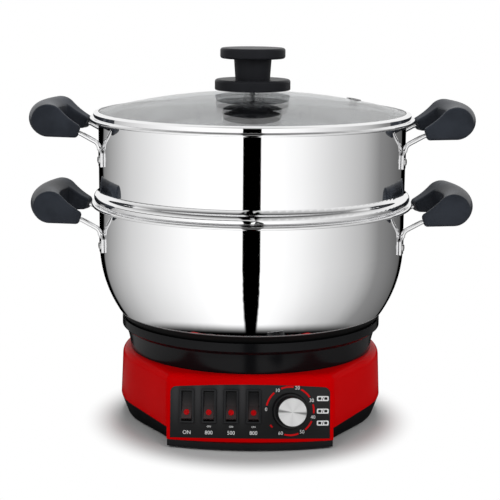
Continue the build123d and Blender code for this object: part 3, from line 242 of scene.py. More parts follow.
def scaled(colour, factor):
    """A colour made lighter or darker."""
    return tuple(min(1.0, part * factor) for part in colour)


# ---------------------------------------------------------------- finishes
def moulded_gloss(name, colour, roughness, ripple, shine):
    """Glossy moulded plastic with a faint ripple."""
    f = Finish(name)
    place = f.place()
    flow = f.noise(place, scale=9, detail=2)
    waves = f.noise(place, scale=55, detail=2)
    grain = f.noise(place, scale=900, detail=2)
    tone = f.mix(flow.smooth(0.3, 0.7), scaled(colour, 0.94), scaled(colour, 1.05))
    return f.surface(
        Base_Color=tone,
        Roughness=grain * 0.05 + roughness,
        Specular_IOR_Level=shine,
        Normal=f.bump(waves + grain * 0.04, strength=ripple, distance=0.0006),
    )


def moulded_matte(name, colour, roughness, grain_size, shine):
    """Plastic from a spark-eroded tool: an even fine grain with a dull sheen."""
    f = Finish(name)
    place = f.place()
    pits = f.noise(place, scale=grain_size, detail=4, roughness=0.65)
    flow = f.noise(place, scale=14, detail=2)
    tone = f.mix(flow.smooth(0.25, 0.75), scaled(colour, 0.85), scaled(colour, 1.2))
    return f.surface(
        Base_Color=tone,
        Roughness=pits * 0.22 + (roughness - 0.1),
        Specular_IOR_Level=shine,
        Normal=f.bump(pits, strength=0.35, distance=0.0002),
    )


def polished_steel(name, colour, roughness, foot):
    """Mirror-polished sheet with the faintest polishing lines, and a painted dark reflection, black and
    dull, below the foot's height.
    """
    dark_reflection_fade = 2 * MM
    painted_reflection_black = (0.004, 0.004, 0.004)
    f = Finish(name)
    place = f.place()
    _, _, z = f.axes(place)
    lines = f.noise(f.place(stretch=(1, 1, 60)), scale=22, detail=3)
    haze = f.noise(place, scale=18, detail=2)
    clean = f.mix(haze.smooth(0.3, 0.7), scaled(colour, 0.985), colour)
    # Painted reflection: below the foot's height the steel is made black, dull and not metal, standing in
    # for the dark base and its shadow seen in the mirror.
    painted_dark_reflection = z.smooth(foot - dark_reflection_fade, foot, 1.0, 0.0)
    return f.surface(
        Base_Color=f.mix(painted_dark_reflection, clean, painted_reflection_black),
        Metallic=1.0 - painted_dark_reflection,
        Roughness=lines * 0.02 + haze * 0.01 + painted_dark_reflection * 0.5 + roughness,
        Specular_IOR_Level=0.1,
        Normal=f.bump(lines, strength=0.012, distance=0.0002),
    )


def satin_steel(name, colour, roughness):
    """Plain steel with short scratches."""
    f = Finish(name)
    scratches = f.noise(f.place(stretch=(1, 1, 12)), scale=420, detail=4, roughness=0.7)
    return f.surface(
        Base_Color=f.mix(scratches, scaled(colour, 0.8), scaled(colour, 1.1)),
        Metallic=1.0,
        Roughness=scratches * 0.2 + roughness,
        Normal=f.bump(scratches, strength=0.1, distance=0.0001),
    )


def turned_metal(name, colour, centre, turn, ring_pitch, painted_fan_turn=0.0):
    """Metal turned on a lathe about its own axis: fine rings, with painted fan-shaped highlights and painted
    dark wedges in the base colour.
    """
    painted_dark_wedge = 0.22
    fine_fans = 2.5
    fine_turn = painted_fan_turn + 0.9
    fine_share = 0.12
    f = Finish(name)
    x, y, _ = f.axes(f.place(centre=centre, turn=turn))
    reach = (x * x + y * y).root()
    rings = (reach * (2 * pi / ring_pitch)).sine()
    streaks = f.noise(f.node("ShaderNodeCombineXYZ", None, {0: reach}), scale=4200, detail=2)
    around = y.angle_to(x)
    # Painted reflection: light and dark wedges set in the base colour by the angle round the axis.
    wide = abs((around + painted_fan_turn).sine()).smooth(0.0, painted_dark_wedge)
    narrow = abs((around * fine_fans + fine_turn).sine())
    painted_fans = wide * (1.0 - fine_share) + narrow * fine_share
    tone = f.mix(painted_fans, scaled(colour, 0.1), scaled(colour, 1.2))
    return f.surface(
        Base_Color=f.mix(streaks * 0.35, tone, scaled(colour, 0.7)),
        Metallic=1.0,
        Roughness=streaks * 0.15 + painted_fans * 0.1 + 0.2,
        Normal=f.bump(rings * 0.3 + streaks, strength=0.12, distance=0.00006),
    )


def scorched_steel(name, colour):
    """Sheathed heating element: dull steel with heat tints."""
    heat_tint = (0.10, 0.075, 0.055)
    f = Finish(name)
    patches = f.noise(f.place(), scale=60, detail=4, roughness=0.6)
    fine = f.noise(f.place(), scale=700, detail=3)
    return f.surface(
        Base_Color=f.mix(patches.smooth(0.35, 0.65), colour, heat_tint),
        Metallic=1.0,
        Roughness=fine * 0.25 + 0.35,
        Normal=f.bump(fine, strength=0.2, distance=0.0001),
    )


def bakelite_finish(name, colour):
    """Thermoset grip: deep black with a soft sheen and tiny pale flecks."""
    fleck = (0.05, 0.055, 0.065)
    f = Finish(name)
    place = f.place()
    flow = f.noise(place, scale=30, detail=3)
    flecks = f.cells(place, 1300).smooth(0.0, 0.12, 1.0, 0.0)
    grain = f.noise(place, scale=700, detail=3, roughness=0.6)
    tone = f.mix(flow.smooth(0.3, 0.7), scaled(colour, 0.8), scaled(colour, 1.3))
    return f.surface(
        Base_Color=f.mix(flecks * 0.25, tone, fleck),
        Roughness=grain * 0.14 + 0.28,
        Specular_IOR_Level=0.06,
        Coat_Weight=0.02,
        Coat_Roughness=0.3,
        Normal=f.bump(grain + flow, strength=0.12, distance=0.0002),
    )


def panel_finish(name, colour, pitch, first):
    """Satin film on the fascia, a little lighter in upright bands between the switches, with painted shade
    that darkens it towards the bottom.
    """
    last_band = (-2 * MM, 14 * MM)
    painted_shade_rise = (12 * MM, 56 * MM)
    f = Finish(name)
    x, _, z = f.axes(f.place())
    wave = ((x - first) * (2 * pi / pitch)).sine() * 0.5 + 0.5
    left_part = x.smooth(*last_band, 1.0, 0.0)
    # Painted shade: the film and its bands grow darker towards the fascia's bottom.
    height = z.smooth(*painted_shade_rise)
    bands = (wave ** 3) * left_part * height
    grain = f.noise(f.place(), scale=1500, detail=2)
    shaded_field = f.mix(height, scaled(colour, 0.45), colour)
    return f.surface(
        Base_Color=f.mix(bands * 0.6, shaded_field, scaled(colour, 2.2)),
        Roughness=grain * 0.12 + 0.34,
        Specular_IOR_Level=0.12,
        Normal=f.bump(grain, strength=0.12, distance=0.0001),
    )


def rocker_finish(name, colour, low, high, glow):
    """Glossy rocker with a painted glow: its colour turns lighter and warmer near its lens."""
    painted_glow_grey = (0.045, 0.043, 0.043)
    f = Finish(name)
    place = f.place()
    _, _, z = f.axes(place)
    grain = f.noise(place, scale=800, detail=2)
    # Painted glow: from the rocker's top down to its lens the colour turns grey, then takes a tint of the
    # lens's red.
    painted_glow_rise = z.smooth(low, high, 1.0, 0.0)
    tone = f.mix(painted_glow_rise * 0.8, colour, painted_glow_grey)
    return f.surface(
        Base_Color=f.mix(painted_glow_rise * painted_glow_rise * 0.15, tone, scaled(glow, 0.2)),
        Roughness=grain * 0.1 + 0.2,
        Specular_IOR_Level=0.2,
        Normal=f.bump(grain, strength=0.06, distance=0.0001),
    )


def lens_finish(name, colour):
    """Ribbed red lens, lit faintly and a little unevenly from inside."""
    f = Finish(name)
    place = f.place()
    ribs = f.noise(place, scale=1600, detail=1)
    glow = f.noise(place, scale=300, detail=1)
    return f.surface(
        Base_Color=f.mix(glow.smooth(0.35, 0.7), scaled(colour, 0.75), colour),
        Roughness=ribs * 0.05 + 0.06,
        Specular_IOR_Level=0.08,
        Emission_Color=f.mix(glow, scaled(colour, 0.5), colour),
        Emission_Strength=0.04,
        Normal=f.bump(ribs, strength=0.1, distance=0.0001),
    )


def glass_finish(name, tint):
    """Clear tempered sheet: see-through, faintly smudged, with brighter reflections at a slant."""
    reflection_share = 0.62
    smudge_share = 0.012
    f = Finish(name)
    haze = f.noise(f.place(), scale=8, detail=2)
    smudge = haze.smooth(0.35, 0.75)
    clear = f.node("ShaderNodeBsdfTransparent", None, {"Color": tint})
    shine = f.node("ShaderNodeBsdfAnisotropic", None, {"Color": WHITE, "Roughness": 0.02})
    edge = f.node("ShaderNodeFresnel", None, {"IOR": 1.5})
    factor = edge * reflection_share + smudge * smudge_share
    return f.close(f.node("ShaderNodeMixShader", None, {0: factor, 1: clear, 2: shine}))


def rubber_finish(name, colour):
    """Soft rubber with a dusty bloom."""
    f = Finish(name)
    bloom = f.noise(f.place(), scale=90, detail=4, roughness=0.6)
    grain = f.noise(f.place(), scale=1200, detail=2)
    return f.surface(
        Base_Color=f.mix(bloom * 0.5, colour, scaled(colour, 2.2)),
        Roughness=bloom * 0.15 + 0.72,
        Normal=f.bump(grain, strength=0.3, distance=0.0001),
    )


def ink_finish(name, colour):
    """Screen-printed ink with a slightly uneven film."""
    f = Finish(name)
    film = f.noise(f.place(), scale=900, detail=3)
    return f.surface(
        Base_Color=f.mix(film * 0.4, colour, scaled(colour, 0.82)),
        Roughness=film * 0.15 + 0.4,
        Specular_IOR_Level=0.1,
        Normal=f.bump(film, strength=0.15, distance=0.00005),
    )


def dress(material, *names):
    """Give CAD nodes a finish; their meshes stay as they are."""
    for name in names:
        slots = nodes[name].data.materials
        slots.clear()
        slots.append(material)


# ---------------------------------------------------------------- the console's leaning face
face_lean = radians(13.0)
face_radius = 350.0 * MM
face_foot = Vector((0, -142.0 * MM, 8.0 * MM))
panel_radius = 349.7 * MM
panel_top = 53.1 * MM
face_up = Vector((0, sin(face_lean), cos(face_lean)))
face_out = Vector((0, -cos(face_lean), sin(face_lean)))
face_axis = face_foot - face_out * face_radius
switch_first = -58.9 * MM
switch_pitch = 20.7 * MM
timer_place = 37.0 * MM
timer_drop = 24.0 * MM


def panel_point(along, drop, proud):
    """A point over the fascia: arc length from its middle, drop from its top, height off its face."""
    turn = along / panel_radius
    out = Vector((sin(turn), 0, 0)) + face_out * cos(turn)
    return face_axis + out * (panel_radius + proud) + face_up * (panel_top - drop)


def new_piece(name, mesh, material, body):
    """Put a finished mesh in the scene, riding on its body."""
    mesh.name = name
    piece = bpy.data.objects.new(name, mesh)
    bpy.context.collection.objects.link(piece)
    mesh.materials.clear()
    mesh.materials.append(material)
    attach(piece, body)
    return piece


def bend_to_panel(mesh, along, drop):
    """Wrap a flat mesh onto the fascia, its own origin at the given spot."""
    for vertex in mesh.vertices:
        x, y, z = vertex.co
        vertex.co = panel_point(along + x, drop - y, z)


def joined(meshes):
    """Several meshes as one."""
    vertices, faces = [], []
    for mesh in meshes:
        start = len(vertices)
        vertices += [vertex.co.copy() for vertex in mesh.vertices]
        faces += [[start + index for index in face.vertices] for face in mesh.polygons]
        bpy.data.meshes.remove(mesh)
    whole = bpy.data.meshes.new("joined")
    whole.from_pydata(vertices, [], faces)
    whole.update()
    return whole


def lettering(text, size, thickness):
    """A word or number as a solid mesh, centred on its own origin."""
    curve = bpy.data.curves.new("lettering", "FONT")
    curve.body = text
    curve.size = size
    curve.align_x = "CENTER"
    curve.align_y = "CENTER"
    curve.extrude = thickness / 2
    curve.resolution_u = 4
    holder = bpy.data.objects.new("lettering", curve)
    mesh = bpy.data.meshes.new_from_object(holder)
    bpy.data.objects.remove(holder)
    for vertex in mesh.vertices:
        vertex.co.z += thickness / 2
    return mesh


def slab(outline, thickness):
    """A flat outline with a thickness, as a closed mesh."""
    count = len(outline)
    vertices = [(x, y, level) for level in (0.0, thickness) for x, y in outline]
    faces = [list(range(count - 1, -1, -1)), list(range(count, 2 * count))]
    for index in range(count):
        after = (index + 1) % count
        faces.append([index, after, count + after, count + index])
    mesh = bpy.data.meshes.new("slab")
    mesh.from_pydata(vertices, [], faces)
    return mesh


def rounded_bar(width, height, radius, along, slant):
    """Outline of a bar with round corners, set along the X axis and leaning by a slant."""
    outline = []
    steps = 5
    for corner, (side_x, side_y) in enumerate(((1, -1), (1, 1), (-1, 1), (-1, -1))):
        for step in range(steps + 1):
            angle = radians(-90 + 90 * corner + 90 * step / steps)
            x = side_x * (width / 2 - radius) + radius * cos(angle)
            y = side_y * (height / 2 - radius) + radius * sin(angle)
            outline.append((along + x + slant * y, y))
    return outline


def arc_band(radius, width, start, end):
    """Outline of a band along an arc, from one angle up to a greater one, in degrees."""
    step_angle = 5
    steps = max(2, ceil((end - start) / step_angle))
    angles = [radians(start + (end - start) * step / steps) for step in range(steps + 1)]
    outer = [((radius + width / 2) * cos(a), (radius + width / 2) * sin(a)) for a in angles]
    inner = [((radius - width / 2) * cos(a), (radius - width / 2) * sin(a)) for a in angles]
    return outer + inner[::-1]


# ---------------------------------------------------------------- geometry nodes
class Growth:
    """A Geometry Nodes tree being built, with named inputs, run on a mesh and turned to a plain mesh."""

    def __init__(self, name, inputs):
        self.tree = bpy.data.node_groups.new(name, "GeometryNodeTree")
        face = self.tree.interface
        face.new_socket("Geometry", in_out="INPUT", socket_type="NodeSocketGeometry")
        self.names = {}
        for label, value in inputs.items():
            socket = face.new_socket(label, in_out="INPUT", socket_type="NodeSocketFloat")
            socket.default_value = value
            self.names[label] = (socket.identifier, value)
        face.new_socket("Geometry", in_out="OUTPUT", socket_type="NodeSocketGeometry")

    def entry(self, label):
        """A named input of the tree."""
        return self.node("NodeGroupInput", outlet=label)

    def node(self, kind, settings=None, sockets=None, outlet=0):
        """Add a node, set it, give its sockets values or links, and return one outlet."""
        node = self.tree.nodes.new(kind)
        for key, value in (settings or {}).items():
            setattr(node, key, value)
        for key, value in (sockets or {}).items():
            for one in value if isinstance(value, list) else [value]:
                if isinstance(one, bpy.types.NodeSocket):
                    self.tree.links.new(one, node.inputs[key])
                else:
                    node.inputs[key].default_value = one
        return node.outputs[outlet] if len(node.outputs) else None

    def math(self, operation, first, second=0.0):
        """One step of arithmetic."""
        return self.node("ShaderNodeMath", {"operation": operation}, {0: first, 1: second})

    def lifted(self, geometry, height):
        """A geometry moved along Z."""
        move = self.node("ShaderNodeCombineXYZ", None, {2: height})
        return self.node("GeometryNodeTransform", None, {"Geometry": geometry, "Translation": move})

    def grow(self, seed_mesh, geometry, material):
        """End the tree, run it on a mesh and return the result as a plain mesh."""
        real = self.node("GeometryNodeRealizeInstances", None, {"Geometry": geometry})
        done = self.node("GeometryNodeSetMaterial", None, {"Geometry": real, "Material": material})
        self.node("NodeGroupOutput", None, {0: done})
        holder = bpy.data.objects.new("seed", seed_mesh)
        bpy.context.collection.objects.link(holder)
        modifier = holder.modifiers.new("grow", "NODES")
        modifier.node_group = self.tree
        for identifier, value in self.names.values():
            modifier[identifier] = value
        graph = bpy.context.evaluated_depsgraph_get()
        mesh = bpy.data.meshes.new_from_object(holder.evaluated_get(graph))
        holder.modifiers.remove(modifier)
        bpy.data.objects.remove(holder)
        return mesh


def spots_mesh(spots):
    """Loose points that carry what repeats."""
    mesh = bpy.data.meshes.new("spots")
    mesh.from_pydata(spots, [], [])
    return mesh


def screw_heads(spots, turn, head_radius, head_height, shank_radius, shank_length, material):
    """Cross-recess pan-head screws on given spots; each is made along Z and then turned.

    The two wings of a recess differ a little in depth, so that the cut leaves no double faces.
    """
    head_sides = 40
    shank_sides = 24
    rim_share = 0.45
    crown_share = 0.62
    wing_share = 1.15
    second_wing_share = 0.9
    sizes = bpy.context.scene.hotpot_sizes
    inputs = {
        "Head Radius": head_radius,
        "Head Height": head_height,
        "Shank Radius": shank_radius,
        "Shank Length": shank_length,
        "Recess Width": sizes.recess_width,
        "Recess Depth": sizes.recess_depth,
    }
    g = Growth("Screws", inputs)
    radius = g.entry("Head Radius")
    height = g.entry("Head Height")
    width = g.entry("Recess Width")
    length = g.entry("Shank Length")
    low_part = g.math("MULTIPLY", height, rim_share)
    high_part = g.math("SUBTRACT", height, low_part)
    rim_sizes = {"Vertices": head_sides, "Radius": radius, "Depth": low_part}
    rim = g.node("GeometryNodeMeshCylinder", None, rim_sizes)
    rim = g.lifted(rim, g.math("MULTIPLY", low_part, 0.5))
    crown_sizes = {
        "Vertices": head_sides,
        "Radius Bottom": radius,
        "Radius Top": g.math("MULTIPLY", radius, crown_share),
        "Depth": high_part,
    }
    crown = g.lifted(g.node("GeometryNodeMeshCone", None, crown_sizes), low_part)
    head = g.node("GeometryNodeMeshBoolean", {"operation": "UNION"}, {"Mesh": [rim, crown]})
    wing_length = g.math("MULTIPLY", radius, wing_share)
    deep = g.math("MULTIPLY", g.entry("Recess Depth"), 2.0)
    shallow = g.math("MULTIPLY", deep, second_wing_share)
    wings = []
    for sides in ((wing_length, width, deep), (width, wing_length, shallow)):
        size = g.node("ShaderNodeCombineXYZ", None, dict(enumerate(sides)))
        wings.append(g.lifted(g.node("GeometryNodeMeshCube", None, {"Size": size}), height))
    head = g.node("GeometryNodeMeshBoolean", {"operation": "DIFFERENCE"}, {"Mesh 1": head, "Mesh 2": wings})
    shank_sizes = {"Vertices": shank_sides, "Radius": g.entry("Shank Radius"), "Depth": length}
    shank = g.node("GeometryNodeMeshCylinder", None, shank_sizes)
    shank = g.lifted(shank, g.math("MULTIPLY", length, -0.5))
    screw = g.node("GeometryNodeJoinGeometry", None, {"Geometry": [head, shank]})
    turned = {"Points": g.entry("Geometry"), "Instance": screw, "Rotation": turn}
    placed = g.node("GeometryNodeInstanceOnPoints", None, turned)
    return g.grow(spots_mesh(spots), placed, material)


def middle_of(corners):
    """The middle of the box round some points."""
    return Vector([(min(side) + max(side)) / 2 for side in zip(*corners)])


def islands(name):
    """The separate solids of a CAD node, each as a list of its corner points."""
    mesh = nodes[name].data
    parent = {}

    def find(key):
        while parent[key] != key:
            parent[key] = parent[parent[key]]
            key = parent[key]
        return key

    keys = [tuple(round(part, 6) for part in vertex.co) for vertex in mesh.vertices]
    for key in keys:
        parent.setdefault(key, key)
    for face in mesh.polygons:
        first = find(keys[face.vertices[0]])
        for index in face.vertices[1:]:
            parent[find(keys[index])] = first
    groups = {}
    for key in parent:
        groups.setdefault(find(key), []).append(Vector(key))
    return list(groups.values())


# ---------------------------------------------------------------- operators
class HotpotOperator:
    """What the piece operators share."""

    bl_options = {"REGISTER", "UNDO"}

    @property
    def colours(self):
        return bpy.context.scene.hotpot_colours

    @property
    def sizes(self):
        return bpy.context.scene.hotpot_sizes


class HOTPOT_OT_base(HotpotOperator, bpy.types.Operator):
    """Finish the base's shell, tray, collar and feet."""

    bl_idname = "hotpot.base"
    bl_label = "Base"

    def execute(self, context):
        black = tuple(self.colours.black)
        red = tuple(self.colours.shell)
        shell = moulded_gloss("Red shell", red, roughness=0.2, ripple=0.02, shine=0.012)
        dress(shell, "base_housing")
        collar = moulded_gloss("Black collar", black, roughness=0.16, ripple=0.03, shine=0.12)
        dress(collar, "collar_ring")
        tray = moulded_matte("Black tray", scaled(black, 1.5), roughness=0.5, grain_size=900, shine=0.3)
        dress(tray, "base_tray", "power_inlet")
        dress(rubber_finish("Foot rubber", colour=(0.02, 0.02, 0.02)), "rubber_feet")
        return {"FINISHED"}


class HOTPOT_OT_console(HotpotOperator, bpy.types.Operator):
    """Finish the fascia, the switches and their lenses."""

    bl_idname = "hotpot.console"
    bl_label = "Console"

    def execute(self, context):
        black = tuple(self.colours.black)
        lens = tuple(self.colours.lens)
        first_gap = switch_first + switch_pitch / 4
        film = panel_finish("Fascia film", tuple(self.colours.panel), switch_pitch, first_gap)
        dress(film, "control_panel")
        bezel = scaled(black, 1.8)
        bezels = moulded_gloss("Switch bezel", bezel, roughness=0.26, ripple=0.02, shine=0.3)
        dress(bezels, *[f"switch_frame_{number}" for number in SWITCHES])
        lens_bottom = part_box("lens_1")[0][2]
        rocker_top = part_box("rocker_1")[1][2]
        rockers = rocker_finish("Rocker", black, lens_bottom, rocker_top, lens)
        dress(rockers, *[f"rocker_{number}" for number in SWITCHES])
        dress(lens_finish("Red lens", lens), *[f"lens_{number}" for number in SWITCHES])
        return {"FINISHED"}


class HOTPOT_OT_print(HotpotOperator, bpy.types.Operator):
    """Print the dial's numbers and arcs, the switches' marks and the three plain tags."""

    bl_idname = "hotpot.print"
    bl_label = "Console print"

    number_angles = {"0": 176.6, "10": 122.0, "20": 72.5, "30": 25.6, "40": -15.0, "50": -59.7, "60": -113.0}
    arc_margin = 9.5
    always_on_angle = -141.0
    dot_half_angle = 4
    switch_texts = ("ON", "800", "500", "800")
    text_drop = 44.6 * MM
    small_text_drop = 38.9 * MM
    small_text_share = 0.5
    tag_place = 67.8 * MM
    tag_drops = (12.6 * MM, 24.2 * MM, 35.2 * MM)
    tag_width = 11.3 * MM
    tag_height = 4.6 * MM
    tag_corner_share = 0.25
    tag_block = {"width": 2.9 * MM, "height": 2.4 * MM, "radius": 0.5 * MM, "slant": 0.0}
    tag_stroke = {"width": 0.6 * MM, "height": 3.0 * MM, "radius": 0.2 * MM, "slant": 0.3}
    block_place = 2.9 * MM

    def execute(self, context):
        thick = self.sizes.print_height
        white = ink_finish("White ink", tuple(self.colours.print_white))
        red = ink_finish("Red ink", tuple(self.colours.print_red))
        dark = ink_finish("Dark ink", (0.02, 0.02, 0.02))
        new_piece("dial_numbers", self.numbers(thick), white, "base")
        new_piece("dial_arcs", self.arcs(thick), red, "base")
        new_piece("switch_marks", self.marks(thick), white, "base")
        new_piece("tags", self.tags(thick), white, "base")
        new_piece("tag_marks", self.tag_marks(thick), dark, "base")
        return {"FINISHED"}

    def numbers(self, thick):
        """The numbers round the dial, upright, on the circle of the arcs."""
        meshes = []
        for text, angle in self.number_angles.items():
            mesh = lettering(text, self.sizes.number_size, thick)
            x = self.sizes.dial_radius * cos(radians(angle))
            y = self.sizes.dial_radius * sin(radians(angle))
            bend_to_panel(mesh, timer_place + x, timer_drop - y)
            meshes.append(mesh)
        return joined(meshes)

    def arcs(self, thick):
        """Red bands from each number to the next, and a dot for the setting that never runs out."""
        radius = self.sizes.dial_radius
        angles = list(self.number_angles.values())
        meshes = []
        for start, end in zip(angles, angles[1:]):
            band = arc_band(radius, self.sizes.arc_width, end + self.arc_margin, start - self.arc_margin)
            mesh = slab(band, thick)
            bend_to_panel(mesh, timer_place, timer_drop)
            meshes.append(mesh)
        dot_start = self.always_on_angle - self.dot_half_angle
        dot_end = self.always_on_angle + self.dot_half_angle
        dot = slab(arc_band(radius, self.sizes.arc_width, dot_start, dot_end), thick)
        bend_to_panel(dot, timer_place, timer_drop)
        return joined([*meshes, dot])

    def marks(self, thick):
        """Plain words and numbers under the switches."""
        meshes = []
        for index, text in enumerate(self.switch_texts):
            along = switch_first + index * switch_pitch
            mesh = lettering(text, self.sizes.mark_size, thick)
            bend_to_panel(mesh, along, self.text_drop)
            meshes.append(mesh)
            if index:
                mesh = lettering("ON", self.sizes.mark_size * self.small_text_share, thick)
                bend_to_panel(mesh, along, self.small_text_drop)
                meshes.append(mesh)
        return joined(meshes)

    def tags(self, thick):
        """Three plain tags with round corners, grown on three points and wrapped onto the fascia."""
        inputs = {"Width": self.tag_width, "Height": self.tag_height, "Thickness": thick}
        g = Growth("Tags", inputs)
        sockets = {"Width": g.entry("Width"), "Height": g.entry("Height")}
        frame_curve = g.node("GeometryNodeCurvePrimitiveQuadrilateral", None, sockets)
        radius = g.math("MULTIPLY", g.entry("Height"), self.tag_corner_share)
        fillet = {"Curve": frame_curve, "Radius": radius, "Count": 6}
        round_curve = g.node("GeometryNodeFilletCurve", {"mode": "POLY"}, fillet)
        filled = g.node("GeometryNodeFillCurve", {"mode": "NGONS"}, {"Curve": round_curve})
        extruded = {"Mesh": filled, "Offset Scale": g.entry("Thickness"), "Individual": False}
        raised = g.node("GeometryNodeExtrudeMesh", None, extruded)
        flipped = g.node("GeometryNodeFlipFaces", None, {"Mesh": filled})
        solid = g.node("GeometryNodeJoinGeometry", None, {"Geometry": [raised, flipped]})
        solid = g.node("GeometryNodeMergeByDistance", None, {"Geometry": solid, "Distance": 1e-6})
        spread = {"Points": g.entry("Geometry"), "Instance": solid}
        placed = g.node("GeometryNodeInstanceOnPoints", None, spread)
        spots = [(self.tag_place, -drop, 0) for drop in self.tag_drops]
        mesh = g.grow(spots_mesh(spots), placed, bpy.data.materials["White ink"])
        bend_to_panel(mesh, 0, 0)
        return mesh

    def tag_marks(self, thick):
        """On each tag, two blocks parted by a leaning stroke."""
        meshes = []
        for drop in self.tag_drops:
            for outline in (
                rounded_bar(along=-self.block_place, **self.tag_block),
                rounded_bar(along=self.block_place, **self.tag_block),
                rounded_bar(along=0.0, **self.tag_stroke),
            ):
                mesh = slab(outline, thick)
                for vertex in mesh.vertices:
                    vertex.co.z += thick
                bend_to_panel(mesh, self.tag_place, drop)
                meshes.append(mesh)
        return joined(meshes)


class HOTPOT_OT_timer(HotpotOperator, bpy.types.Operator):
    """Finish the timer's knob and its turned aluminium disc."""

    bl_idname = "hotpot.timer"
    bl_label = "Timer"

    disc_colour = (0.9, 0.9, 0.89)
    ring_pitch = 0.5 * MM
    # Turn of the disc's painted highlights and dark wedges.
    painted_fan_turn = 0.12

    def execute(self, context):
        black = tuple(self.colours.black)
        joint = next(joint for joint in frame["joints"] if joint["name"] == "timer_turn")
        out = -Vector(joint["axis"])
        centre = middle_of(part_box("dial_cap"))
        turn = out.to_track_quat("Z", "Y").to_euler()
        disc = turned_metal(
            "Turned disc", self.disc_colour, centre, turn, self.ring_pitch, painted_fan_turn=self.painted_fan_turn
        )
        dress(disc, "dial_cap")
        dress(moulded_gloss("Timer knob", black, roughness=0.2, ripple=0.02, shine=0.35), "timer_knob")
        shaft = satin_steel("Shaft steel", colour=(0.6, 0.6, 0.6), roughness=0.25)
        dress(shaft, "timer_shaft", "timer_screws")
        cream = (0.6, 0.57, 0.47)
        case = moulded_matte("Timer case", cream, roughness=0.5, grain_size=700, shine=0.5)
        dress(case, "timer_body", "terminal_block")
        return {"FINISHED"}


class HOTPOT_OT_vessels(HotpotOperator, bpy.types.Operator):
    """Polish the pot, the steamer tier, their brackets and rivets, and the steam plate."""

    bl_idname = "hotpot.vessels"
    bl_label = "Vessels"

    # Height below which the polished steel carries a painted dark reflection.
    foot_height = 107.0 * MM

    def execute(self, context):
        bright = tuple(self.colours.steel)
        steel = polished_steel("Polished steel", bright, roughness=0.015, foot=self.foot_height)
        names = ["pot_shell", "steamer_tier", "steam_plate", "lid_band"]
        names += [f"{tier}_bracket_{hand}" for tier in TIERS for hand in HANDS]
        dress(steel, *names)
        rivets = satin_steel("Rivet steel", colour=(0.72, 0.72, 0.72), roughness=0.14)
        dress(rivets, "pot_rivets", "steamer_rivets", "lid_vent")
        grey = (0.66, 0.66, 0.67)
        centre = (0, 0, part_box("pot_base_disc")[0][2])
        bottom = turned_metal("Pot bottom", grey, centre, turn=(0, 0, 0), ring_pitch=0.9 * MM)
        dress(bottom, "pot_base_disc")
        return {"FINISHED"}


class HOTPOT_OT_grips(HotpotOperator, bpy.types.Operator):
    """Finish the side grips and their set screws."""

    bl_idname = "hotpot.grips"
    bl_label = "Grips"

    def execute(self, context):
        material = bakelite_finish("Bakelite", tuple(self.colours.bakelite))
        dress(material, *[f"{tier}_grip_{hand}" for tier in TIERS for hand in HANDS])
        pins = satin_steel("Set screw steel", colour=(0.5, 0.5, 0.5), roughness=0.3)
        dress(pins, "pot_grip_pins", "steamer_grip_pins")
        return {"FINISHED"}


class HOTPOT_OT_lid(HotpotOperator, bpy.types.Operator):
    """Finish the glass lid and its knob."""

    bl_idname = "hotpot.lid"
    bl_label = "Lid"

    def execute(self, context):
        black = tuple(self.colours.black)
        dress(glass_finish("Lid glass", tint=(0.93, 0.94, 0.945)), "lid_glass")
        knob = moulded_matte("Knob", scaled(black, 3.8), roughness=0.36, grain_size=1100, shine=0.07)
        dress(knob, "lid_knob", "knob_flange")
        dress(rubber_finish("Gasket silicone", colour=(0.55, 0.55, 0.54)), "knob_gasket")
        screw = satin_steel("Knob screw steel", colour=(0.7, 0.7, 0.7), roughness=0.2)
        dress(screw, "knob_washer", "knob_screw")
        return {"FINISHED"}


class HOTPOT_OT_heater(HotpotOperator, bpy.types.Operator):
    """Finish the heater, the sensor and the other inner pieces."""

    bl_idname = "hotpot.heater"
    bl_label = "Heater"

    def execute(self, context):
        grey = (0.5, 0.5, 0.5)
        centre = (0, 0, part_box("heater_plate")[1][2])
        plate = turned_metal("Heater face", grey, centre, turn=(0, 0, 0), ring_pitch=1.2 * MM)
        dress(plate, "heater_plate", "sensor_plunger")
        dress(scorched_steel("Element sheath", colour=(0.16, 0.17, 0.15)), "heating_tubes")
        inner = satin_steel("Inner steel", colour=(0.62, 0.62, 0.6), roughness=0.28)
        dress(inner, "heater_posts", "heat_shield", "sensor_holder", "sensor_spring")
        brown = (0.11, 0.045, 0.02)
        cutouts = moulded_matte("Cut-out case", brown, roughness=0.45, grain_size=800, shine=0.5)
        dress(cutouts, "thermal_cutouts")
        dress(satin_steel("Brass", colour=(0.72, 0.5, 0.16), roughness=0.2), "inlet_pins")
        return {"FINISHED"}


class HOTPOT_OT_screws(HotpotOperator, bpy.types.Operator):
    """Make the cross-recess screws that hold the tray and the inlet."""

    bl_idname = "hotpot.screws"
    bl_label = "Screws"

    head_radius = 3.4 * MM
    head_height = 1.6 * MM
    shank_radius = 1.6 * MM

    def execute(self, context):
        steel = satin_steel("Screw steel", colour=(0.55, 0.55, 0.53), roughness=0.22)
        self.make("tray_screws", "tray_screw_heads", Vector((0, 0, -1)), steel)
        self.make("inlet_screws", "inlet_screw_heads", Vector((0, 1, 0)), steel)
        return {"FINISHED"}

    def make(self, node, name, out, steel):
        """Screws in the place of one CAD node, whose heads stand towards a direction."""
        spots, lengths = [], []
        for corners in islands(node):
            reach = [corner.dot(out) for corner in corners]
            middle = middle_of(corners)
            seat = max(reach) - self.head_height
            spots.append(middle + out * (seat - middle.dot(out)))
            lengths.append(seat - min(reach))
        turn = out.to_track_quat("Z", "Y").to_euler()
        head = (self.head_radius, self.head_height)
        shank = (self.shank_radius, min(lengths))
        mesh = screw_heads(spots, turn, *head, *shank, steel)
        piece = new_piece(name, mesh, steel, "base")
        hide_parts(node)


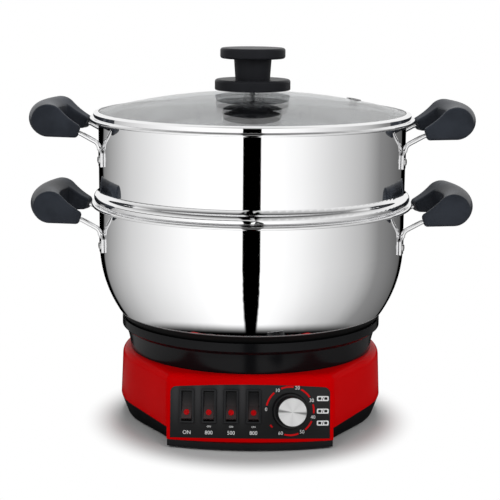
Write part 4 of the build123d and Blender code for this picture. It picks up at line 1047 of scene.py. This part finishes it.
class HOTPOT_OT_stage(HotpotOperator, bpy.types.Operator):
    """Lay the floor, hang the lights and set the camera."""

    bl_idname = "hotpot.stage"
    bl_label = "Stage"

    floor_reach = 7.0
    floor_thickness = 0.01
    floor_sides = 64
    floor_grey = (0.64, 0.64, 0.64)
    shadow_half_width = 0.128
    shadow_half_depth = 0.14
    shadow_ahead = 0.03
    shadow_edge = (0.95, 1.3)
    mirror_ahead = 0.11
    mirror_glow = 1.12
    # Reach of the painted shadow round the base that mirrors show.
    shadow_pool_edge = (0.16, 0.2)
    front_edge = (-0.13, -0.1)
    horizon_edge = (-3.6, -3.0)
    stripe_start = 0.15
    stripe_half_width = 0.008
    stripe_spread = 0.112
    stripe_edge = (-0.002, 0.004)
    sky_light = (0.42, 0.42, 0.42)
    back_sky = (0.92, 0.92, 0.92)
    back_edge = (0.3, 0.6)
    sky_stripe_edge = (0.1, 0.13)
    sky_stripe_foot = (0.2, 0.3)
    front_sky_stops = (
        (0.0, 0.0),
        (1.0, 0.04),
        (0.06, 0.6),
        (0.2, 0.85),
        (0.45, 0.7),
        (0.7, 0.4),
        (0.9, 0.08),
    )
    mirror_stops = (
        (0.0, 0.4),
        (1.0, 0.4),
        (0.024, 0.4),
        (0.036, 0.0),
        (0.104, 0.0),
        (0.110, 0.21),
        (0.17, 0.40),
        (0.22, 0.58),
        (0.34, 0.88),
        (0.40, 1.0),
        (0.54, 1.0),
        (0.60, 0.88),
        (0.67, 0.65),
        (0.75, 0.44),
        (0.80, 0.22),
        (0.90, 0.10),
        (0.906, 0.0),
        (0.964, 0.0),
        (0.976, 0.4),
    )
    lamp_side = 0.8
    lamps = {
        "key_light": {"place": (-0.9, -1.3, 0.9), "aim": (0, 0, 0.15), "power": 6},
        "fill_light": {"place": (1.0, -1.2, 0.9), "aim": (0, 0, 0.15), "power": 7},
        "top_light": {"place": (0.0, 0.8, 1.9), "aim": (0, 0, 0.2), "power": 30},
    }
    camera_place = (-1.3 * MM, -1414.2 * MM, 430.0 * MM)
    camera_tilt = 10.74
    camera_roll = 0.45
    camera_lens = 103.75
    camera_film = 36

    def execute(self, context):
        self.floor()
        self.sky()
        for name, settings in self.lamps.items():
            self.lamp(name, **settings)
        self.camera()
        context.scene.view_settings.view_transform = "Standard"
        return {"FINISHED"}

    def floor(self):
        """A plain pale floor that mirrors show darker to the sides, behind and in front of the console, and
        black in a pool round the base: a painted shadow that only mirrors see.
        """
        f = Finish("Floor")
        x, y, _ = f.axes(f.place())
        reach = (x * x + y * y).root()
        around = x.angle_to((y + self.mirror_ahead) * -1) * (0.5 / pi) + 0.5
        shade = f.ramp(around, self.mirror_stops)
        past_stripe = abs(x) - self.stripe_half_width - (abs(y) - self.stripe_start) * self.stripe_spread
        open_front = past_stripe.smooth(*self.stripe_edge).most(y.smooth(*self.front_edge))
        # Round the base the mirrored floor is black: a painted shadow of the base, seen only in reflections.
        lit_part = open_front * reach.smooth(*self.shadow_pool_edge) * y.smooth(*self.horizon_edge)
        mirror_shade = f.mix(lit_part, BLACK, shade)
        seen, mirrored = f.rays()
        pale = f.node("ShaderNodeBsdfDiffuse", None, {"Color": self.floor_grey})
        white = f.node("ShaderNodeEmission", None, {"Color": WHITE, "Strength": 1.0})
        wide = x / self.shadow_half_width
        deep = (y + self.shadow_ahead) / self.shadow_half_depth
        far = (wide * wide + deep * deep).root().smooth(*self.shadow_edge) * seen
        lit = f.node("ShaderNodeMixShader", None, {0: far, 1: pale, 2: white})
        card = f.node("ShaderNodeEmission", None, {"Color": mirror_shade, "Strength": self.mirror_glow})
        material = f.close(f.node("ShaderNodeMixShader", None, {0: mirrored, 1: lit, 2: card}))
        turns = [2 * pi * index / self.floor_sides for index in range(self.floor_sides)]
        rim = [(self.floor_reach * cos(turn), self.floor_reach * sin(turn)) for turn in turns]
        mesh = slab(rim, self.floor_thickness)
        for vertex in mesh.vertices:
            vertex.co.z -= self.floor_thickness
        floor = bpy.data.objects.new("floor", mesh)
        mesh.materials.append(material)
        bpy.context.collection.objects.link(floor)

    def sky(self):
        """White surroundings that light softly, and that mirrors show darker in front and overhead."""
        world = bpy.data.worlds.new("Studio")
        bpy.context.scene.world = world
        f = Finish("Studio", world)
        across, ahead, up = f.axes(f.node("ShaderNodeTexCoord", outlet="Generated"))
        beside = abs(across).smooth(*self.sky_stripe_edge)
        low = up.smooth(*self.sky_stripe_foot, 1.0, 0.0)
        front_sky = f.mix(beside.most(low), BLACK, f.ramp(up, self.front_sky_stops))
        mirrored_sky = f.mix(ahead.smooth(*self.back_edge), front_sky, self.back_sky)
        seen, mirrored = f.rays()
        lighting = f.mix(mirrored, self.sky_light, mirrored_sky)
        colour = f.mix(seen.smooth(0, 1), lighting, WHITE)
        background = f.node("ShaderNodeBackground", None, {"Color": colour, "Strength": 1.0})
        f.close(background, "ShaderNodeOutputWorld")

    def lamp(self, name, place, aim, power):
        """A soft square light aimed at a point, that mirrors don't show."""
        light = bpy.data.lights.new(name, "AREA")
        light.shape = "SQUARE"
        light.size = self.lamp_side
        light.energy = power
        lamp = bpy.data.objects.new(name, light)
        bpy.context.collection.objects.link(lamp)
        lamp.location = place
        lamp.rotation_euler = (Vector(aim) - Vector(place)).to_track_quat("-Z", "Y").to_euler()
        lamp.visible_glossy = False

    def camera(self):
        """The camera, looking down a little from the front."""
        lens = bpy.data.cameras.new("camera")
        lens.lens = self.camera_lens
        lens.sensor_width = self.camera_film
        camera = bpy.data.objects.new("camera", lens)
        bpy.context.collection.objects.link(camera)
        tilt = Matrix.Rotation(radians(90 - self.camera_tilt), 3, "X")
        roll = Matrix.Rotation(radians(self.camera_roll), 3, "Z")
        camera.location = self.camera_place
        camera.rotation_euler = (tilt @ roll).to_euler()
        bpy.context.scene.camera = camera


class HOTPOT_PT_panel(bpy.types.Panel):
    """Sidebar panel that lists the pot's steps and settings."""

    bl_idname = "HOTPOT_PT_panel"
    bl_label = "Hot pot"
    bl_space_type = "VIEW_3D"
    bl_region_type = "UI"
    bl_category = "Hot pot"

    def draw(self, context):
        for group in (context.scene.hotpot_colours, context.scene.hotpot_sizes):
            for name in group.__annotations__:
                self.layout.prop(group, name)
        for step in STEPS:
            self.layout.operator(step.bl_idname)


STEPS = (
    HOTPOT_OT_base,
    HOTPOT_OT_console,
    HOTPOT_OT_print,
    HOTPOT_OT_timer,
    HOTPOT_OT_vessels,
    HOTPOT_OT_grips,
    HOTPOT_OT_lid,
    HOTPOT_OT_heater,
    HOTPOT_OT_screws,
    HOTPOT_OT_stage,
)
CLASSES = (HotpotColours, HotpotSizes, *STEPS, HOTPOT_PT_panel)


def register():
    for kind in CLASSES:
        bpy.utils.register_class(kind)
    bpy.types.Scene.hotpot_colours = bpy.props.PointerProperty(type=HotpotColours)
    bpy.types.Scene.hotpot_sizes = bpy.props.PointerProperty(type=HotpotSizes)


def unregister():
    del bpy.types.Scene.hotpot_sizes
    del bpy.types.Scene.hotpot_colours
    for kind in reversed(CLASSES):
        bpy.utils.unregister_class(kind)


def main():
    register()
    for step in STEPS:
        group, name = step.bl_idname.split(".")
        getattr(getattr(bpy.ops, group), name)()


if __name__ == "__main__":
    main()
